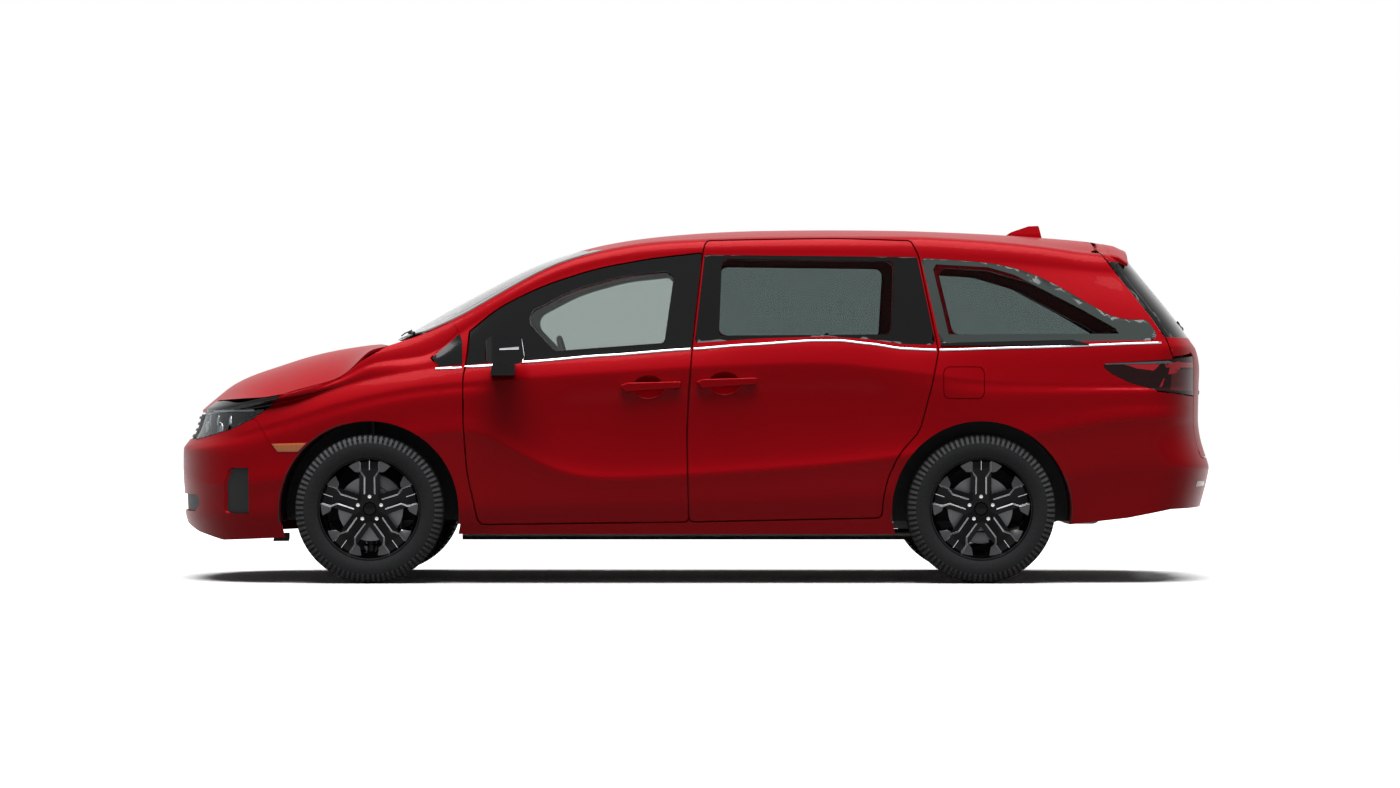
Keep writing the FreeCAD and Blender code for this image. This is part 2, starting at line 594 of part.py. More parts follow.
def rail_strip(gap):
    """Roof rail above the sliding door, which stays on the body side."""
    return top_opening(RAIL_WIDTH + gap).common(box(0, 1400, -900, 900, 1500, 1900))


def sliding_door():
    """Sliding door with a pocket for its flush pane, and the pane."""
    door = panel(grown(SLIDING_DOOR, -SHUT_GAP / 2), 0, RECESS_DEPTH, 28, 47)
    door = door.cut(rail_strip(SHUT_GAP)).cut(panel(SLIDING_GLASS, -12, 6, 28, 47))
    door = with_handle(door.cut(side(SLIDING_CLEAR)), -4, 986)
    return door, panel(SLIDING_GLASS, 1, 5.7, 28, 47)


def front_fender():
    outline = [(x, z, 0) for x, z in NOSE_SEAM[:-1]]
    outline += [(-2162, 801, 0)] + [(p[0], p[1], 0) for p in HEAD_LAMP[2:5]]
    outline += [(x, z, 0) for x, z in HOOD_SIDE + WINDSCREEN_FOOT]
    outline += [(-1203, 1287, 0), (-1176, 1237, 0), (-1310, 1106, 0), (-1266, 1060, 0),
                (-1142, 1066, 0), (-1000, 1066, 0), (-1000, 292, 0), (-1195, 292, 0), (-1300, 500, 0)]
    skin = panel(outline, 0, 6, 8, 26)
    skin = skin.cut(panel(grown(FRONT_DOOR, SHUT_GAP / 2), -12, 20, 12, 34))
    return skin.cut(arch_cutter(FRONT_AXLE_X, 0)).cut(top_opening(0))


def hood():
    """Height-field hood from the lip over the grille to the windscreen's foot."""
    edge = curve((-2530, 548), (-2480, 648), (-2400, 733), (-2250, 818), (-2058, 866),
                 (-1774, 852), (-1605, 824), (-1467, 798), (-1350, 790))
    lip = curve((-2530, 838), (-2480, 856), (-2400, 884), (-2250, 903), (-2058, 921),
                (-1999, 941), (-1774, 1004), (-1724, 1033), (-1665, 1090), (-1605, 1145),
                (-1520, 1166), (-1350, 1200))

    def net(drop):
        rows = []
        for i in range(29):
            x0 = lerp(-2508, -1600, i / 28)
            row = []
            for j in range(-12, 13):
                t = j / 12
                tt = math.copysign(abs(t) ** 0.8, t)
                x = x0 + (110 if i > 14 else lerp(150, 110, i / 14)) * tt * tt * lerp(1, 0.8, i / 28)
                w = edge(x)
                z = lip(x) + (crown_line(x0) - lip(x)) * (1 - abs(tt) ** 2.6)
                row.append(Vector(x, tt * w, z - drop))
            rows.append(row)
        return rows

    return slab(net(0), net(14))


def windscreen():
    glass = top_slab(NOSE_STEPS + 4, NOSE_STEPS + 22, 0, 6).common(top_opening(0))
    foot = [(-1240, -950, 0)] + [(x, y, 0) for x, y in GLASS_FOOT] + [(-1240, 950, 0)]
    foot += [(0, 950, 0), (0, -950, 0)]
    return glass.common(header(-2000, 0)).common(prism(foot, "xy", 900, 1900))


def header(limit, shift):
    """Plan cutter on one side of the line where the windscreen meets the roof."""
    line = [(HEADER[0][0] + 60, -950)] + HEADER + [(HEADER[-1][0] + 60, 950)]
    pts = [(x + shift, y, 0) for x, y in line]
    return prism(pts + [(limit, 950, 0), (limit, -950, 0)], "xy", 900, 1900)


def roof_panel():
    roof = top_slab(NOSE_STEPS + 12, COLUMNS - 8, 0, 26).common(top_opening(0))
    roof = roof.common(header(2300, 0)).common(box(-900, TAILGATE_AXIS_X + 22, -900, 900, 1000, 1900))
    x, z = TAILGATE_AXIS_X, TAILGATE_AXIS_Z
    nose = box(x, x + 60, -900, 900, z - 200, z + 200)
    return roof.cut(nose.cut(rod(ROOF_NOSE, (x, -950, z), (x, 950, z))))


def tailgate():
    """Tailgate with its spoiler, pane pocket and hinge arms."""
    skin = skin_slab(COLUMNS - 9, COLUMNS - 1, 0, ROWS - 1, 0, PANEL_DEPTH)
    seam = [(x + 6.5, z, 0) for x, z in TAIL_SEAM] + [(2330, 560, 0), (2800, 560, 0), (2800, 1800, 0)]
    half = [(-638, 616, 40), (-638, 1136, 30), (-880, 1109, 0), (-1000, 1109, 0), (-1000, 1800, 0)]
    rear = prism(half + [(-y, z, r) for y, z, r in reversed(half)], "yz", 1900, 2800)
    left = skin.common(side(seam, -1400, 0.0)).common(rear)
    pane = side(GATE_GLASS, -1400, 0)
    glass = skin_slab(COLUMNS - 9, COLUMNS - 1, 10, ROWS - 1, 1, 5.7).common(pane)
    hole = [(-560, 1250, 60), (-520, 1530, 50)]
    hole = prism(hole + [(-y, z, r) for y, z, r in reversed(hole)], "yz", 1900, 2800)
    half_gate = left.cut(pane_pocket(pane)).cut(hole)
    plate = [(-270, 742, 16), (-270, 902, 16)]
    plate = prism(plate + [(-y, z, r) for y, z, r in reversed(plate)], "yz", 1900, 2800)
    half_gate = half_gate.cut(skin_slab(COLUMNS - 9, COLUMNS - 1, 6, ROWS - 1, -12, 16).common(plate))
    gate = half_gate.fuse(right(half_gate))
    top = top_slab(COLUMNS - 12, COLUMNS - 5, 0, 56)
    tip = [(TAILGATE_AXIS_X + 31, -700, 0), (2180, -700, 60), (2236, -420, 400), (2238, 0, 0),
           (2236, 420, 400), (2180, 700, 60), (TAILGATE_AXIS_X + 31, 700, 0)]
    top = top.common(prism(tip, "xy", 1400, 1900)).common(side(seam, -1400, 1400))
    pocket = pane_pocket(pane)
    top = top.cut(hole).cut(pocket).cut(right(pocket))
    gate = gate.fuse(top)
    gate = gate.cut(rod(GATE_RELIEF, (TAILGATE_AXIS_X, -950, TAILGATE_AXIS_Z), (TAILGATE_AXIS_X, 950, TAILGATE_AXIS_Z)))
    gate = max(gate.Solids, key=lambda piece: piece.Volume)
    return gate, glass.fuse(right(glass))


def pane_pocket(pane):
    return skin_slab(COLUMNS - 9, COLUMNS - 1, 10, ROWS - 1, -12, 6).common(pane)


def tail_lamp():
    lamp = panel(TAIL_LAMP, 0, 55, 48, COLUMNS - 1)
    return lamp.cut(box(2300, 2700, -646, 0, 800, 1300))


def rear_bumper():
    outline = [(1680, 286, 0), (1838, 289, 60), (2118, 320, 200), (2338, 362, 100),
               (2700, 371, 0), (2700, 899, 0), (2580, 902, 0), (2262, 940, 0)]
    outline += [(x, z, 0) for x, z in reversed(BUMPER_SEAM[:-1])] + [(1660, 664.4, 0)]
    skin = skin_slab(44, COLUMNS - 1, 0, ROWS - 1, 0, 30).common(side(outline, -1400, 0))
    skin = skin.cut(arch_cutter(REAR_AXLE_X, 0))
    half = [(-644, 609, 40), (-651, 1060, 0)]
    gate = prism(half + [(-y, z, r) for y, z, r in reversed(half)], "yz", 1900, 2800)
    skin = skin.cut(gate)
    return skin.fuse(right(skin))


def mirrored(outline):
    return outline + [(-y, z, r) for y, z, r in reversed(outline)]


def front_bumper():
    whole = skin_slab(-22, 22, 0, ROWS - 1, 0, 26)
    under = [(-2700, 301, 0), (-2592, 301, 10), (-2481, 246, 30), (-2340, 208, 60), (-1990, 226, 0),
             (-1930, 500, 0), (-1930, 644, 0)]
    edge = [(x - 1.5, z, 0) for x, z in NOSE_SEAM[1:-1]] + [(-2163.5, 799, 0)]
    lamp = [(x, z, 0) for x, z in ((-2178, 808), (-2300, 752), (-2484, 702))]
    outline = under + edge + lamp + [(-2560, 702, 0), (-2700, 702, 0)]
    whole = whole.common(side(outline, -1400, 1400))
    whole = whole.cut(arch_cutter(FRONT_AXLE_X, 0, -1400, 1400))
    whole = whole.cut(prism(mirrored(LOWER_GRILLE), "yz", -2700, -2300))
    for cut in (VENT, [(-y, z, r) for y, z, r in VENT]):
        whole = whole.cut(prism(cut, "yz", -2700, -2200))
    return whole


def lower_grille():
    back = skin_slab(-9, 9, 0, ROWS - 1, 14, 40)
    middle = back.common(prism(mirrored(LOWER_GRILLE), "yz", -2700, -2300))
    corner = skin_slab(2, 20, 0, ROWS - 1, 12, 34).common(prism(VENT, "yz", -2700, -2200))
    return Part.makeCompound([middle, corner, right(corner)])


def upper_grille():
    whole = skin_slab(-9, 9, 0, ROWS - 1, 8, 40)
    block = whole.common(box(-2700, -2300, -470, 470, 702.3, 826))
    block = block.cut(box(-2486, -2300, -480, 480, 690, 706)).cut(box(-2486, -2300, -480, 480, 705, 716))
    bars = skin_slab(-9, 9, 0, ROWS - 1, 0, 20)
    out = [block]
    for z in (720, 750, 780, 810):
        out.append(bars.common(box(-2700, -2300, -470, 470, z - 6, z + 6)))
    return out[0].fuse(out[1:])


def head_lamp():
    lamp = panel(HEAD_LAMP, 0, 26, -3, 20)
    return lamp.cut(box(-2700, -2300, -LAMP_INNER_Y, 0, 600, 1000))


def spun(points, centre_x, centre_y):
    """Solid of revolution about a wheel's axle, from (offset outwards, radius) points."""
    pts = [Vector(centre_x, centre_y - a, HUB_Z + r) for a, r in points]
    face = Part.Face(Part.makePolygon(pts + pts[:1]))
    return face.revolve(Vector(centre_x, centre_y, HUB_Z), Vector(0, 1, 0), 360)


def tyre(x, y):
    s = 1.0 if y < 0 else -1.0
    prof = [(-98, RIM_SEAT), (-98, 257), (-TYRE_HALF, 304), (-92, TYRE_RADIUS), (92, TYRE_RADIUS),
            (TYRE_HALF, 304), (98, 257), (98, RIM_SEAT)]
    return spun([(a * s, r) for a, r in prof], x, y)


def rim(x, y):
    s = 1.0 if y < 0 else -1.0

    def ring(prof):
        return spun([(a * s, r) for a, r in prof], x, y)

    barrel = ring([(-98, RIM_SEAT), (-98, 256), (-104, 256), (-104, 232), (-40, 226), (60, 222),
                   (84, 232), (104, 244), (104, 257), (98, 257), (98, RIM_SEAT)])
    hub = ring([(-6, SPINDLE + RUN_FIT), (-6, 78), (50, 78), (62, 60), (62, SPINDLE + RUN_FIT)])
    cap = ring([(58, 0.0), (58, 32), (70, 30), (74, 24), (76, 0.0)])
    spokes = []
    pieces = [(SPOKE_BAR, 26, 52), (SPOKE_RIDGE, 52, 56), (SPOKE_WEDGE, 20, 42)]
    pieces += [([(r, -v, c) for r, v, c in points], a0, a1) for points, a0, a1 in pieces]
    pieces.append(([(34, -7, 0), (34, 7, 0), (238, 15, 0), (238, -15, 0)], 20, 38))
    for n in range(5):
        blades = [prism(points, "xz", a0, a1) for points, a0, a1 in pieces]
        shape = blades[0].fuse(blades[1:]).common(
            Part.makeCylinder(236, 200, Vector(0, 0, 0), Vector(0, 1, 0)))
        shape.rotate(Vector(0, 0, 0), Vector(0, 1, 0), 90 + 72 * n)
        if y < 0:
            shape = shape.mirror(Vector(0, 0, 0), Vector(0, 1, 0))
        shape.translate(Vector(x, y, HUB_Z))
        spokes.append(shape)
    core = tube(400, SPINDLE + RUN_FIT, (x, y + 200, HUB_Z), (x, y - 200, HUB_Z))
    disc = ring([(-42, 60), (-42, 168), (-18, 168), (-18, 78), (0, 78), (0, 60)])
    body = barrel.fuse(spokes).common(core).fuse([hub, cap, disc])
    return body


def upright(s):
    """Hub carrier with its spindle, strut and steering arm, on one side (s = -1 is left)."""
    foot = Vector(STEER_FOOT[0], s * STEER_FOOT[1], STEER_FOOT[2])
    top = Vector(STEER_TOP[0], s * STEER_TOP[1], STEER_TOP[2])
    lean = (top - foot).normalize()

    def along(d):
        p = foot + lean * d
        return (p.x, p.y, p.z)

    x = FRONT_AXLE_X
    spindle = rod(SPINDLE, (x, s * 735, HUB_Z), (x, s * 904, HUB_Z))
    flange = rod(52, (x, s * 722, HUB_Z), (x, s * 780, HUB_Z))
    parts = [spindle, flange, rod(26, along(-4), along(330)), rod(34, along(250), along(520)),
             rod(15, along(500), along(672)), rod(11, along(-46), along(2))]
    arm = box(x + 20, x + 150, min(s * 700, s * 735), max(s * 700, s * 735), 340, 366)
    parts.append(arm)
    parts.append(box(x - 30, x + 30, min(s * 690, s * 745), max(s * 690, s * 745), 320, 400))
    return join(*parts)


def front_suspension():
    out = []
    for s in (-1, 1):
        foot = Vector(STEER_FOOT[0], s * STEER_FOOT[1], STEER_FOOT[2])
        top = Vector(STEER_TOP[0], s * STEER_TOP[1], STEER_TOP[2])
        lean = (top - foot).normalize()

        def along(d):
            p = foot + lean * d
            return (p.x, p.y, p.z)

        x = FRONT_AXLE_X
        arm = rod(24, along(-42), along(-12))
        plate = prism([(x - 26, s * 778, 20), (x - 60, s * 440, 20), (x + 150, s * 440, 20),
                       (x + 26, s * 778, 20)], "xy", 160, 176)
        arm = arm.fuse(plate).cut(rod(11 + RUN_FIT, along(-60), along(40)))
        tower = rod(60, along(640), along(690)).cut(rod(15 + RUN_FIT, along(600), along(700)))
        out += [arm, tower]
    x = FRONT_AXLE_X
    frame = [box(x - 120, x - 20, -480, 480, 150, 220), box(x + 80, x + 160, -480, 480, 150, 220),
             box(x - 100, x + 120, -480, -400, 150, 220), box(x - 100, x + 120, 400, 480, 150, 220)]
    ring = join(*frame)
    for n, o in enumerate(out):
        if n % 2 == 0:
            ring = ring.fuse(o)
    for s, tower in ((-1, out[1]), (1, out[3])):
        leg = box(x - 70, x + 70, min(s * 430, s * 480), max(s * 430, s * 480), 150, 880)
        cap = box(x - 70, x + 70, min(s * 430, s * 700), max(s * 430, s * 700), 838, 880)
        low = box(x - 70, x + 70, min(s * 420, s * 480), max(s * 420, s * 480), 150, 220)
        cap = cap.cut(rod(15 + RUN_FIT, (STEER_TOP[0], s * (STEER_TOP[1] + 24), 748),
                          (STEER_TOP[0], s * (STEER_TOP[1] - 24), 952)))
        ring = ring.fuse([leg, cap, low])
    return ring


def rear_suspension():
    x = REAR_AXLE_X
    parts = [box(x - 50, x + 50, -690, 690, 250, 330)]
    for s in (-1, 1):
        parts.append(rod(SPINDLE, (x, s * 660, HUB_Z), (x, s * 904, HUB_Z)))
        parts.append(rod(60, (x, s * 640, HUB_Z), (x, s * 738, HUB_Z)))
        parts.append(box(x - 420, x, min(s * 600, s * 660), max(s * 600, s * 660), 262, 320))
        parts.append(rod(26, (x + 60, s * 600, 300), (x + 60, s * 600, REAR_FLOOR_Z)))
        parts.append(box(x + 20, x + 100, min(s * 560, s * 640), max(s * 560, s * 640), 262, 310))
        parts.append(rod(30, (x - 355, s * 630, 290), (x - 355, s * 630, REAR_FLOOR_Z)))
    return join(*parts)


def arch_liner(axle_x, inner_y, wall_z, walls):
    ring = tube(ARCH_RADIUS + 8, ARCH_RADIUS + 4, (axle_x, -952, 358), (axle_x, inner_y, 358))
    ring = ring.cut(box(axle_x - 600, axle_x + 600, -1100, 0, -200, 300))
    wall = tube(ARCH_RADIUS + 8, 75, (axle_x, inner_y - 4, 358), (axle_x, inner_y, 358))
    wall = wall.cut(box(axle_x - 600, axle_x + 600, -1100, 0, -200, wall_z))
    liner = ring.fuse(wall)
    if axle_x == FRONT_AXLE_X:
        liner = liner.cut(rod(66, (axle_x, -STEER_FOOT[1], STEER_FOOT[2]),
                              (axle_x, -STEER_TOP[1], STEER_TOP[2])))
    for piece in walls:
        liner = liner.cut(piece)
    return liner


def floor_pan():
    step = prism([(-1130, FLOOR_Z, 0), (880, FLOOR_Z, 0), (1000, REAR_FLOOR_Z, 0), (2280, REAR_FLOOR_Z, 0),
                  (2280, REAR_FLOOR_Z + 26, 0), (984, REAR_FLOOR_Z + 26, 0), (864, FLOOR_Z + 26, 0),
                  (-1106, FLOOR_Z + 26, 0), (-1106, 1040, 0), (-1130, 1040, 0)], "xz", -835, 835)
    parts = [step, box(-1130, 900, -700, -560, 232, FLOOR_Z), box(-1130, 900, 560, 700, 232, FLOOR_Z),
             box(-1130, -1106, -700, 700, 1000, 1104), box(-2420, -2370, -560, 560, 380, 460)]
    parts += [box(-2420, -1120, min(s * 380, s * 430), max(s * 380, s * 430), 380, 460)
              for s in (-1, 1)]
    pan = join(*parts)
    for s in (-1, 1):
        pan = pan.cut(rod(ARCH_RADIUS + 10, (REAR_AXLE_X, s * 686, 358), (REAR_AXLE_X, s * 1000, 358)))
    return pan


def fuel_flap():
    flap = panel(FUEL_FLAP, 0, 5, 40, 50)
    x, y = FLAP_X, FLAP_Y
    arm = strip([(x, y), (x, y + 32), (x + 46, y + 32), (x + 46, y - 12)], 9, "xy", 928, 960)
    eye = rod(8, (x, y, 926), (x, y, 962))
    arm = arm.fuse(eye).cut(rod(3 + RUN_FIT, (x, y, 915), (x, y, 975)))
    arm = arm.cut(skin_slab(40, 50, 0, ROWS - 1, -60, 3))
    return flap.fuse(arm)


def hood_with_arms():
    shape = hood()
    lamp = panel(grown(HEAD_LAMP, LAMP_GAP), -60, 34, -3, 20)
    lamp = lamp.cut(box(-2900, -2300, LAMP_GAP - LAMP_INNER_Y, 900, 600, 1100))
    shape = shape.cut(lamp).cut(right(lamp))
    shape = max(shape.Solids, key=lambda piece: piece.Volume)
    for s in (-1, 1):
        y0, y1 = sorted((s * 690, s * 710))
        arm = strip([(HOOD_AXIS_X, HOOD_AXIS_Z), (-1590, 1150)], 14, "xz", y0, y1)
        eye = rod(12, (HOOD_AXIS_X, y0, HOOD_AXIS_Z), (HOOD_AXIS_X, y1, HOOD_AXIS_Z))
        bore = rod(PIN + RUN_FIT, (HOOD_AXIS_X, y0 - 9, HOOD_AXIS_Z), (HOOD_AXIS_X, y1 + 9, HOOD_AXIS_Z))
        shape = shape.fuse(arm.fuse(eye).cut(bore))
    return shape


def cowl():
    parts = [box(-1570, -1130, -770, 770, 1076, 1100)]
    for s in (-1, 1):
        for y in (676, 716):
            y0, y1 = sorted((s * y, s * (y + 8)))
            parts.append(box(HOOD_AXIS_X - 14, HOOD_AXIS_X + 14, y0, y1, 1090, HOOD_AXIS_Z + 14))
        parts.append(rod(PIN, (HOOD_AXIS_X, s * 680, HOOD_AXIS_Z), (HOOD_AXIS_X, s * 720, HOOD_AXIS_Z)))
    return join(*parts)


def gate_hinges(gate):
    x, z = TAILGATE_AXIS_X, TAILGATE_AXIS_Z
    for s in (-1, 1):
        y0, y1 = sorted((s * 183, s * 217))
        arm = strip([(x, z), (x, z - 40), (x + 50, z - 44), (x + 50, z - 14)], 12, "xz", y0, y1)
        eye = rod(11, (x, y0, z), (x, y1, z))
        bore = rod(5 + RUN_FIT, (x, y0 - 9, z), (x, y1 + 9, z))
        gate = gate.fuse(arm.fuse(eye).cut(bore))
    return gate


def roof_with_hinges():
    x, z = TAILGATE_AXIS_X, TAILGATE_AXIS_Z
    roof = roof_panel()
    for s in (-1, 1):
        y0, y1 = sorted((s * 177, s * 223))
        roof = roof.cut(box(x - 18, x + 60, y0, y1, 1500, z + 17))
        for y in (169, 223):
            a, b = sorted((s * y, s * (y + 8)))
            roof = roof.fuse(box(x - 14, x + 14, a, b, z - 12, z + 10))
        roof = roof.fuse(rod(5, (x, s * 172, z), (x, s * 228, z)))
    fin = prism([(1555, 1722, 0), (1600, 1752, 60), (1690, 1783, 20), (1742, 1785, 8), (1758, 1715, 0)],
                "xz", -34, 34)
    return roof.fuse(fin.common(prism([(-34, 1700, 0), (-26, 1742, 30), (-7, 1790, 0), (7, 1790, 0),
                                       (26, 1742, 30), (34, 1700, 0)], "yz", 1500, 1800)))


def mirror_arm():
    body = prism([(-1032, 1100, 18), (-1024, 1196, 26), (-980, 1216, 60), (-850, 1206, 18),
                  (-836, 1110, 16), (-856, 1076, 26), (-1000, 1076, 30)], "xz", -1170, -985)
    body = body.common(prism([(-1032, -1010, 20), (-1030, -1110, 50), (-985, -1160, 50),
                              (-836, -1168, 14), (-836, -988, 14), (-1000, -988, 20)], "xy", 1000, 1300))
    foot = prism([(-1010, 1020, 8), (-886, 1020, 8), (-890, 1100, 8), (-990, 1100, 8)], "xz", -1010, -900)
    foot = foot.cut(skin_slab(15, 34, 0, ROWS - 1, 0, 80))
    foot = foot.common(box(-1200, -700, -1010, -905, 900, 1200))
    return body.fuse(foot)


def seat(x, y, width, floor, height):
    """A seat with cushion, leaning back and headrest; x is the back's foot."""
    base = box(x - 480, x - 20, y - width / 2, y + width / 2, floor + 150, floor + 290)
    base = base.makeFillet(30, base.Edges)
    leg = box(x - 400, x - 60, y - width / 2 + 40, y + width / 2 - 40, floor, floor + 160)
    back = prism([(x - 50, floor + 180, 40), (x + 60, floor + 190, 40),
                  (x + 150, floor + height, 40), (x + 60, floor + height, 40)], "xz",
                 y - width / 2, y + width / 2)
    stalk = prism([(x + 95, floor + height - 30, 0), (x + 110, floor + height - 30, 0),
                   (x + 125, floor + height + 80, 0), (x + 110, floor + height + 80, 0)], "xz",
                  y - 60, y + 60)
    rest = box(x + 80, x + 165, y - 125, y + 125, floor + height + 50, floor + height + 210)
    rest = rest.makeFillet(28, rest.Edges)
    return join(base, leg, back, stalk, rest)


def dashboard():
    shape = prism([(-1106, 700, 0), (-1106, 1100, 0), (-1040, 1160, 60), (-860, 1150, 60),
                   (-800, 1060, 60), (-850, 900, 60), (-1000, 700, 30)], "xz", -775, 775)
    column = rod(22, (-960, -370, 940), (-660, -370, 1020))
    wheel = Part.makeTorus(185, 15, Vector(-640, -370, 1028), Vector(-300, 0, -80), 0, 360)
    hub = rod(70, (-670, -370, 1020), (-630, -370, 1030))
    arms = [rod(11, (-640, -370 - 180 * math.cos(a), 1028 - 180 * math.sin(a) * 0.966),
                (-640, -370, 1028)) for a in (0.0, math.pi, math.pi / 2)]
    return join(shape, column, wheel, hub, *arms)


def engine_block():
    block = box(-1900, -1330, -360, 360, 300, 860)
    mounts = [box(-1700, -1600, -425, 425, 220, 320)]
    return join(block, *mounts)


def exhaust():
    pipe = [rod(28, (-1200, 180, 210), (1560, 180, 210)), rod(28, (1560, 180, 210), (1900, 420, 310))]
    silencer = prism([(1860, 262, 50), (2080, 262, 50), (2080, 400, 50), (1860, 400, 50)], "xz", 200, 640)
    tail = rod(26, (2050, 590, 320), (2230, 610, 312))
    hangers = [box(-960, -920, 165, 195, 220, FLOOR_Z), box(1900, 1940, 300, 330, 380, REAR_FLOOR_Z),
               box(1960, 2000, 560, 590, 380, REAR_FLOOR_Z)]
    return join(*pipe, silencer, tail, *hangers)


def main():
    os.makedirs("parts", exist_ok=True)
    left = body_side(True)
    save("body_side_left", left)
    save("body_side_right", right(body_side(False)))
    save("roof_panel", roof_with_hinges())
    save("windscreen", windscreen())
    save("cowl", cowl())
    floor = floor_pan()
    for body in (left, right(left)):
        floor = floor.cut(body)
    save("floor_pan", floor)
    fender = front_fender()
    save("front_fenders", both(fender))
    bumper = front_bumper()
    save("front_bumper", bumper)
    save("upper_grille", upper_grille())
    save("lower_grille", lower_grille())
    save("headlamps", both(head_lamp()))
    save("tail_lamps", both(tail_lamp()))
    back = rear_bumper()
    save("rear_bumper", back)
    save("quarter_glass", both(panel(QUARTER_GLASS, 1, 5.7, 40, COLUMNS - 1)))
    door, pane = sliding_door()
    save("sliding_door_left", door)
    save("sliding_door_right", right(door))
    save("sliding_glass", both(pane))
    lower, frame, glass = front_door()
    for name, shape in (("front_door_", lower), ("door_frame_", frame), ("door_glass_", glass),
                        ("mirror_", mirror_arm())):
        save(name + "left", shape)
        save(name + "right", right(shape))
    save("hood", hood_with_arms())
    gate, pane = tailgate()
    save("tailgate", gate_hinges(gate))
    save("tailgate_glass", pane)
    save("fuel_flap", fuel_flap())
    save("dashboard", dashboard())
    save("seats_front", both(seat(-60, -370, 520, FLOOR_Z + 26, 720)))
    rows = [seat(820, -370, 520, FLOOR_Z + 26, 700), seat(820, 370, 520, FLOOR_Z + 26, 700),
            seat(1790, 0, 1100, REAR_FLOOR_Z - 90, 560).cut(box(0, 3000, -900, 900, 0, REAR_FLOOR_Z + 26))]
    save("seats_rear", Part.makeCompound(rows))
    save("engine_block", engine_block())
    save("exhaust", exhaust())
    save("front_suspension", front_suspension())
    save("rear_suspension", rear_suspension())
    liners = [arch_liner(FRONT_AXLE_X, -500, 300, [fender, bumper]),
              arch_liner(REAR_AXLE_X, -690, 300, [left, back])]
    save("arch_liners", Part.makeCompound(liners + [right(s) for s in liners]))
    save("knuckle_left", upright(-1))
    save("knuckle_right", upright(1))
    for end, x in (("front", FRONT_AXLE_X), ("rear", REAR_AXLE_X)):
        for name, y in (("left", -HALF_TRACK), ("right", HALF_TRACK)):
            save("tyre_" + end + "_" + name, tyre(x, y))
            save("rim_" + end + "_" + name, rim(x, y))


main()
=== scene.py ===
import math

import bpy
from mathutils import Matrix, Vector
from mathutils.bvhtree import BVHTree


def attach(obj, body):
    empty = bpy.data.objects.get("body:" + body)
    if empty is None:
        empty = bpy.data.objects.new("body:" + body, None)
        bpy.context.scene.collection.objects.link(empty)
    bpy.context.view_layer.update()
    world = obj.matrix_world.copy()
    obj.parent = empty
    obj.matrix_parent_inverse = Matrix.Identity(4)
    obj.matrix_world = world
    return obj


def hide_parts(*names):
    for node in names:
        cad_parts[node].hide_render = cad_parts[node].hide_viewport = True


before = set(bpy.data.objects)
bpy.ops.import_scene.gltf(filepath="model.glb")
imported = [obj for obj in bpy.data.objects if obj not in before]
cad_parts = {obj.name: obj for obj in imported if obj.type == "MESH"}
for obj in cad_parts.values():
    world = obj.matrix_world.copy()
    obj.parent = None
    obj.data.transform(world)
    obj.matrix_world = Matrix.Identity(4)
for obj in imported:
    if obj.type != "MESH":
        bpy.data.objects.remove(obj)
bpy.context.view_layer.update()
bpy.ops.object.select_all(action="DESELECT")

# Studio sweep and light. The car stands on white paper in soft light from above, seen
# side on from far away at hip height, and the paper keeps its soft contact shadow.
SENSOR_MM = 36.0
LENS_MM = 126.0
CAMERA_PLACE = (0.018, -24.96, 0.929)
FLOOR_SIZE = 70
ROOM_LIGHT = 0.12
OVERHEAD_LIGHT = 5.4
OVERHEAD_SPREAD = math.radians(50)
OVERHEAD_TILT = math.radians(5)
camera_data = bpy.data.cameras.new("camera")
camera_data.sensor_width = SENSOR_MM
camera_data.lens = LENS_MM
camera_data.clip_end = 200.0
camera = bpy.data.objects.new("camera", camera_data)
camera.location = CAMERA_PLACE
camera.rotation_euler = (math.radians(90), 0.0, 0.0)
bpy.context.collection.objects.link(camera)
bpy.context.scene.camera = camera
bpy.context.scene.view_settings.view_transform = "Standard"


def linear(code):
    """Linear colour of an sRGB hex value."""
    parts = [int(code[i:i + 2], 16) / 255 for i in (1, 3, 5)]
    return tuple(c / 12.92 if c <= 0.04045 else ((c + 0.055) / 1.055) ** 2.4 for c in parts) + (1.0,)


def finish(name, colour, **values):
    """A new material with its base colour and surface values."""
    material = bpy.data.materials.new(name)
    material.use_nodes = True
    surface = material.node_tree.nodes["Principled BSDF"]
    surface.inputs["Base Color"].default_value = linear(colour)
    for key, value in values.items():
        surface.inputs[key.replace("_", " ")].default_value = value
    return material


def add_node(owner, kind, settings, links):
    """One more node in a material or the world: settings by socket or property name, links by socket."""
    node = owner.node_tree.nodes.new("ShaderNode" + kind)
    for key, value in settings.items():
        if key in node.inputs:
            node.inputs[key].default_value = value
        else:
            setattr(node, key, value)
    for key, socket in links.items():
        owner.node_tree.links.new(socket, node.inputs[key])
    return node


def plug(material, socket, name):
    """Lets a socket steer one value of a finish's surface."""
    material.node_tree.links.new(socket, material.node_tree.nodes["Principled BSDF"].inputs[name])


def dress(material, *nodes):
    """Gives a finish to CAD nodes."""
    for name in nodes:
        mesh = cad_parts[name].data
        mesh.materials.clear()
        mesh.materials.append(material)


def shown_ray(owner):
    """1 for a ray from the camera, off a mirror or through glass, and 0 for one that only lights."""
    rays = add_node(owner, "LightPath", {}, {})
    seen = add_node(owner, "Math", {"operation": "MAXIMUM"},
                    {0: rays.outputs["Is Camera Ray"], 1: rays.outputs["Is Transmission Ray"]})
    shone = add_node(owner, "Math", {"operation": "MAXIMUM"},
                     {0: seen.outputs["Value"], 1: rays.outputs["Is Glossy Ray"]})
    return shone.outputs["Value"]


bpy.ops.mesh.primitive_plane_add(size=FLOOR_SIZE, location=(0, 0, 0))
floor = bpy.context.object
floor.name = "studio_floor"
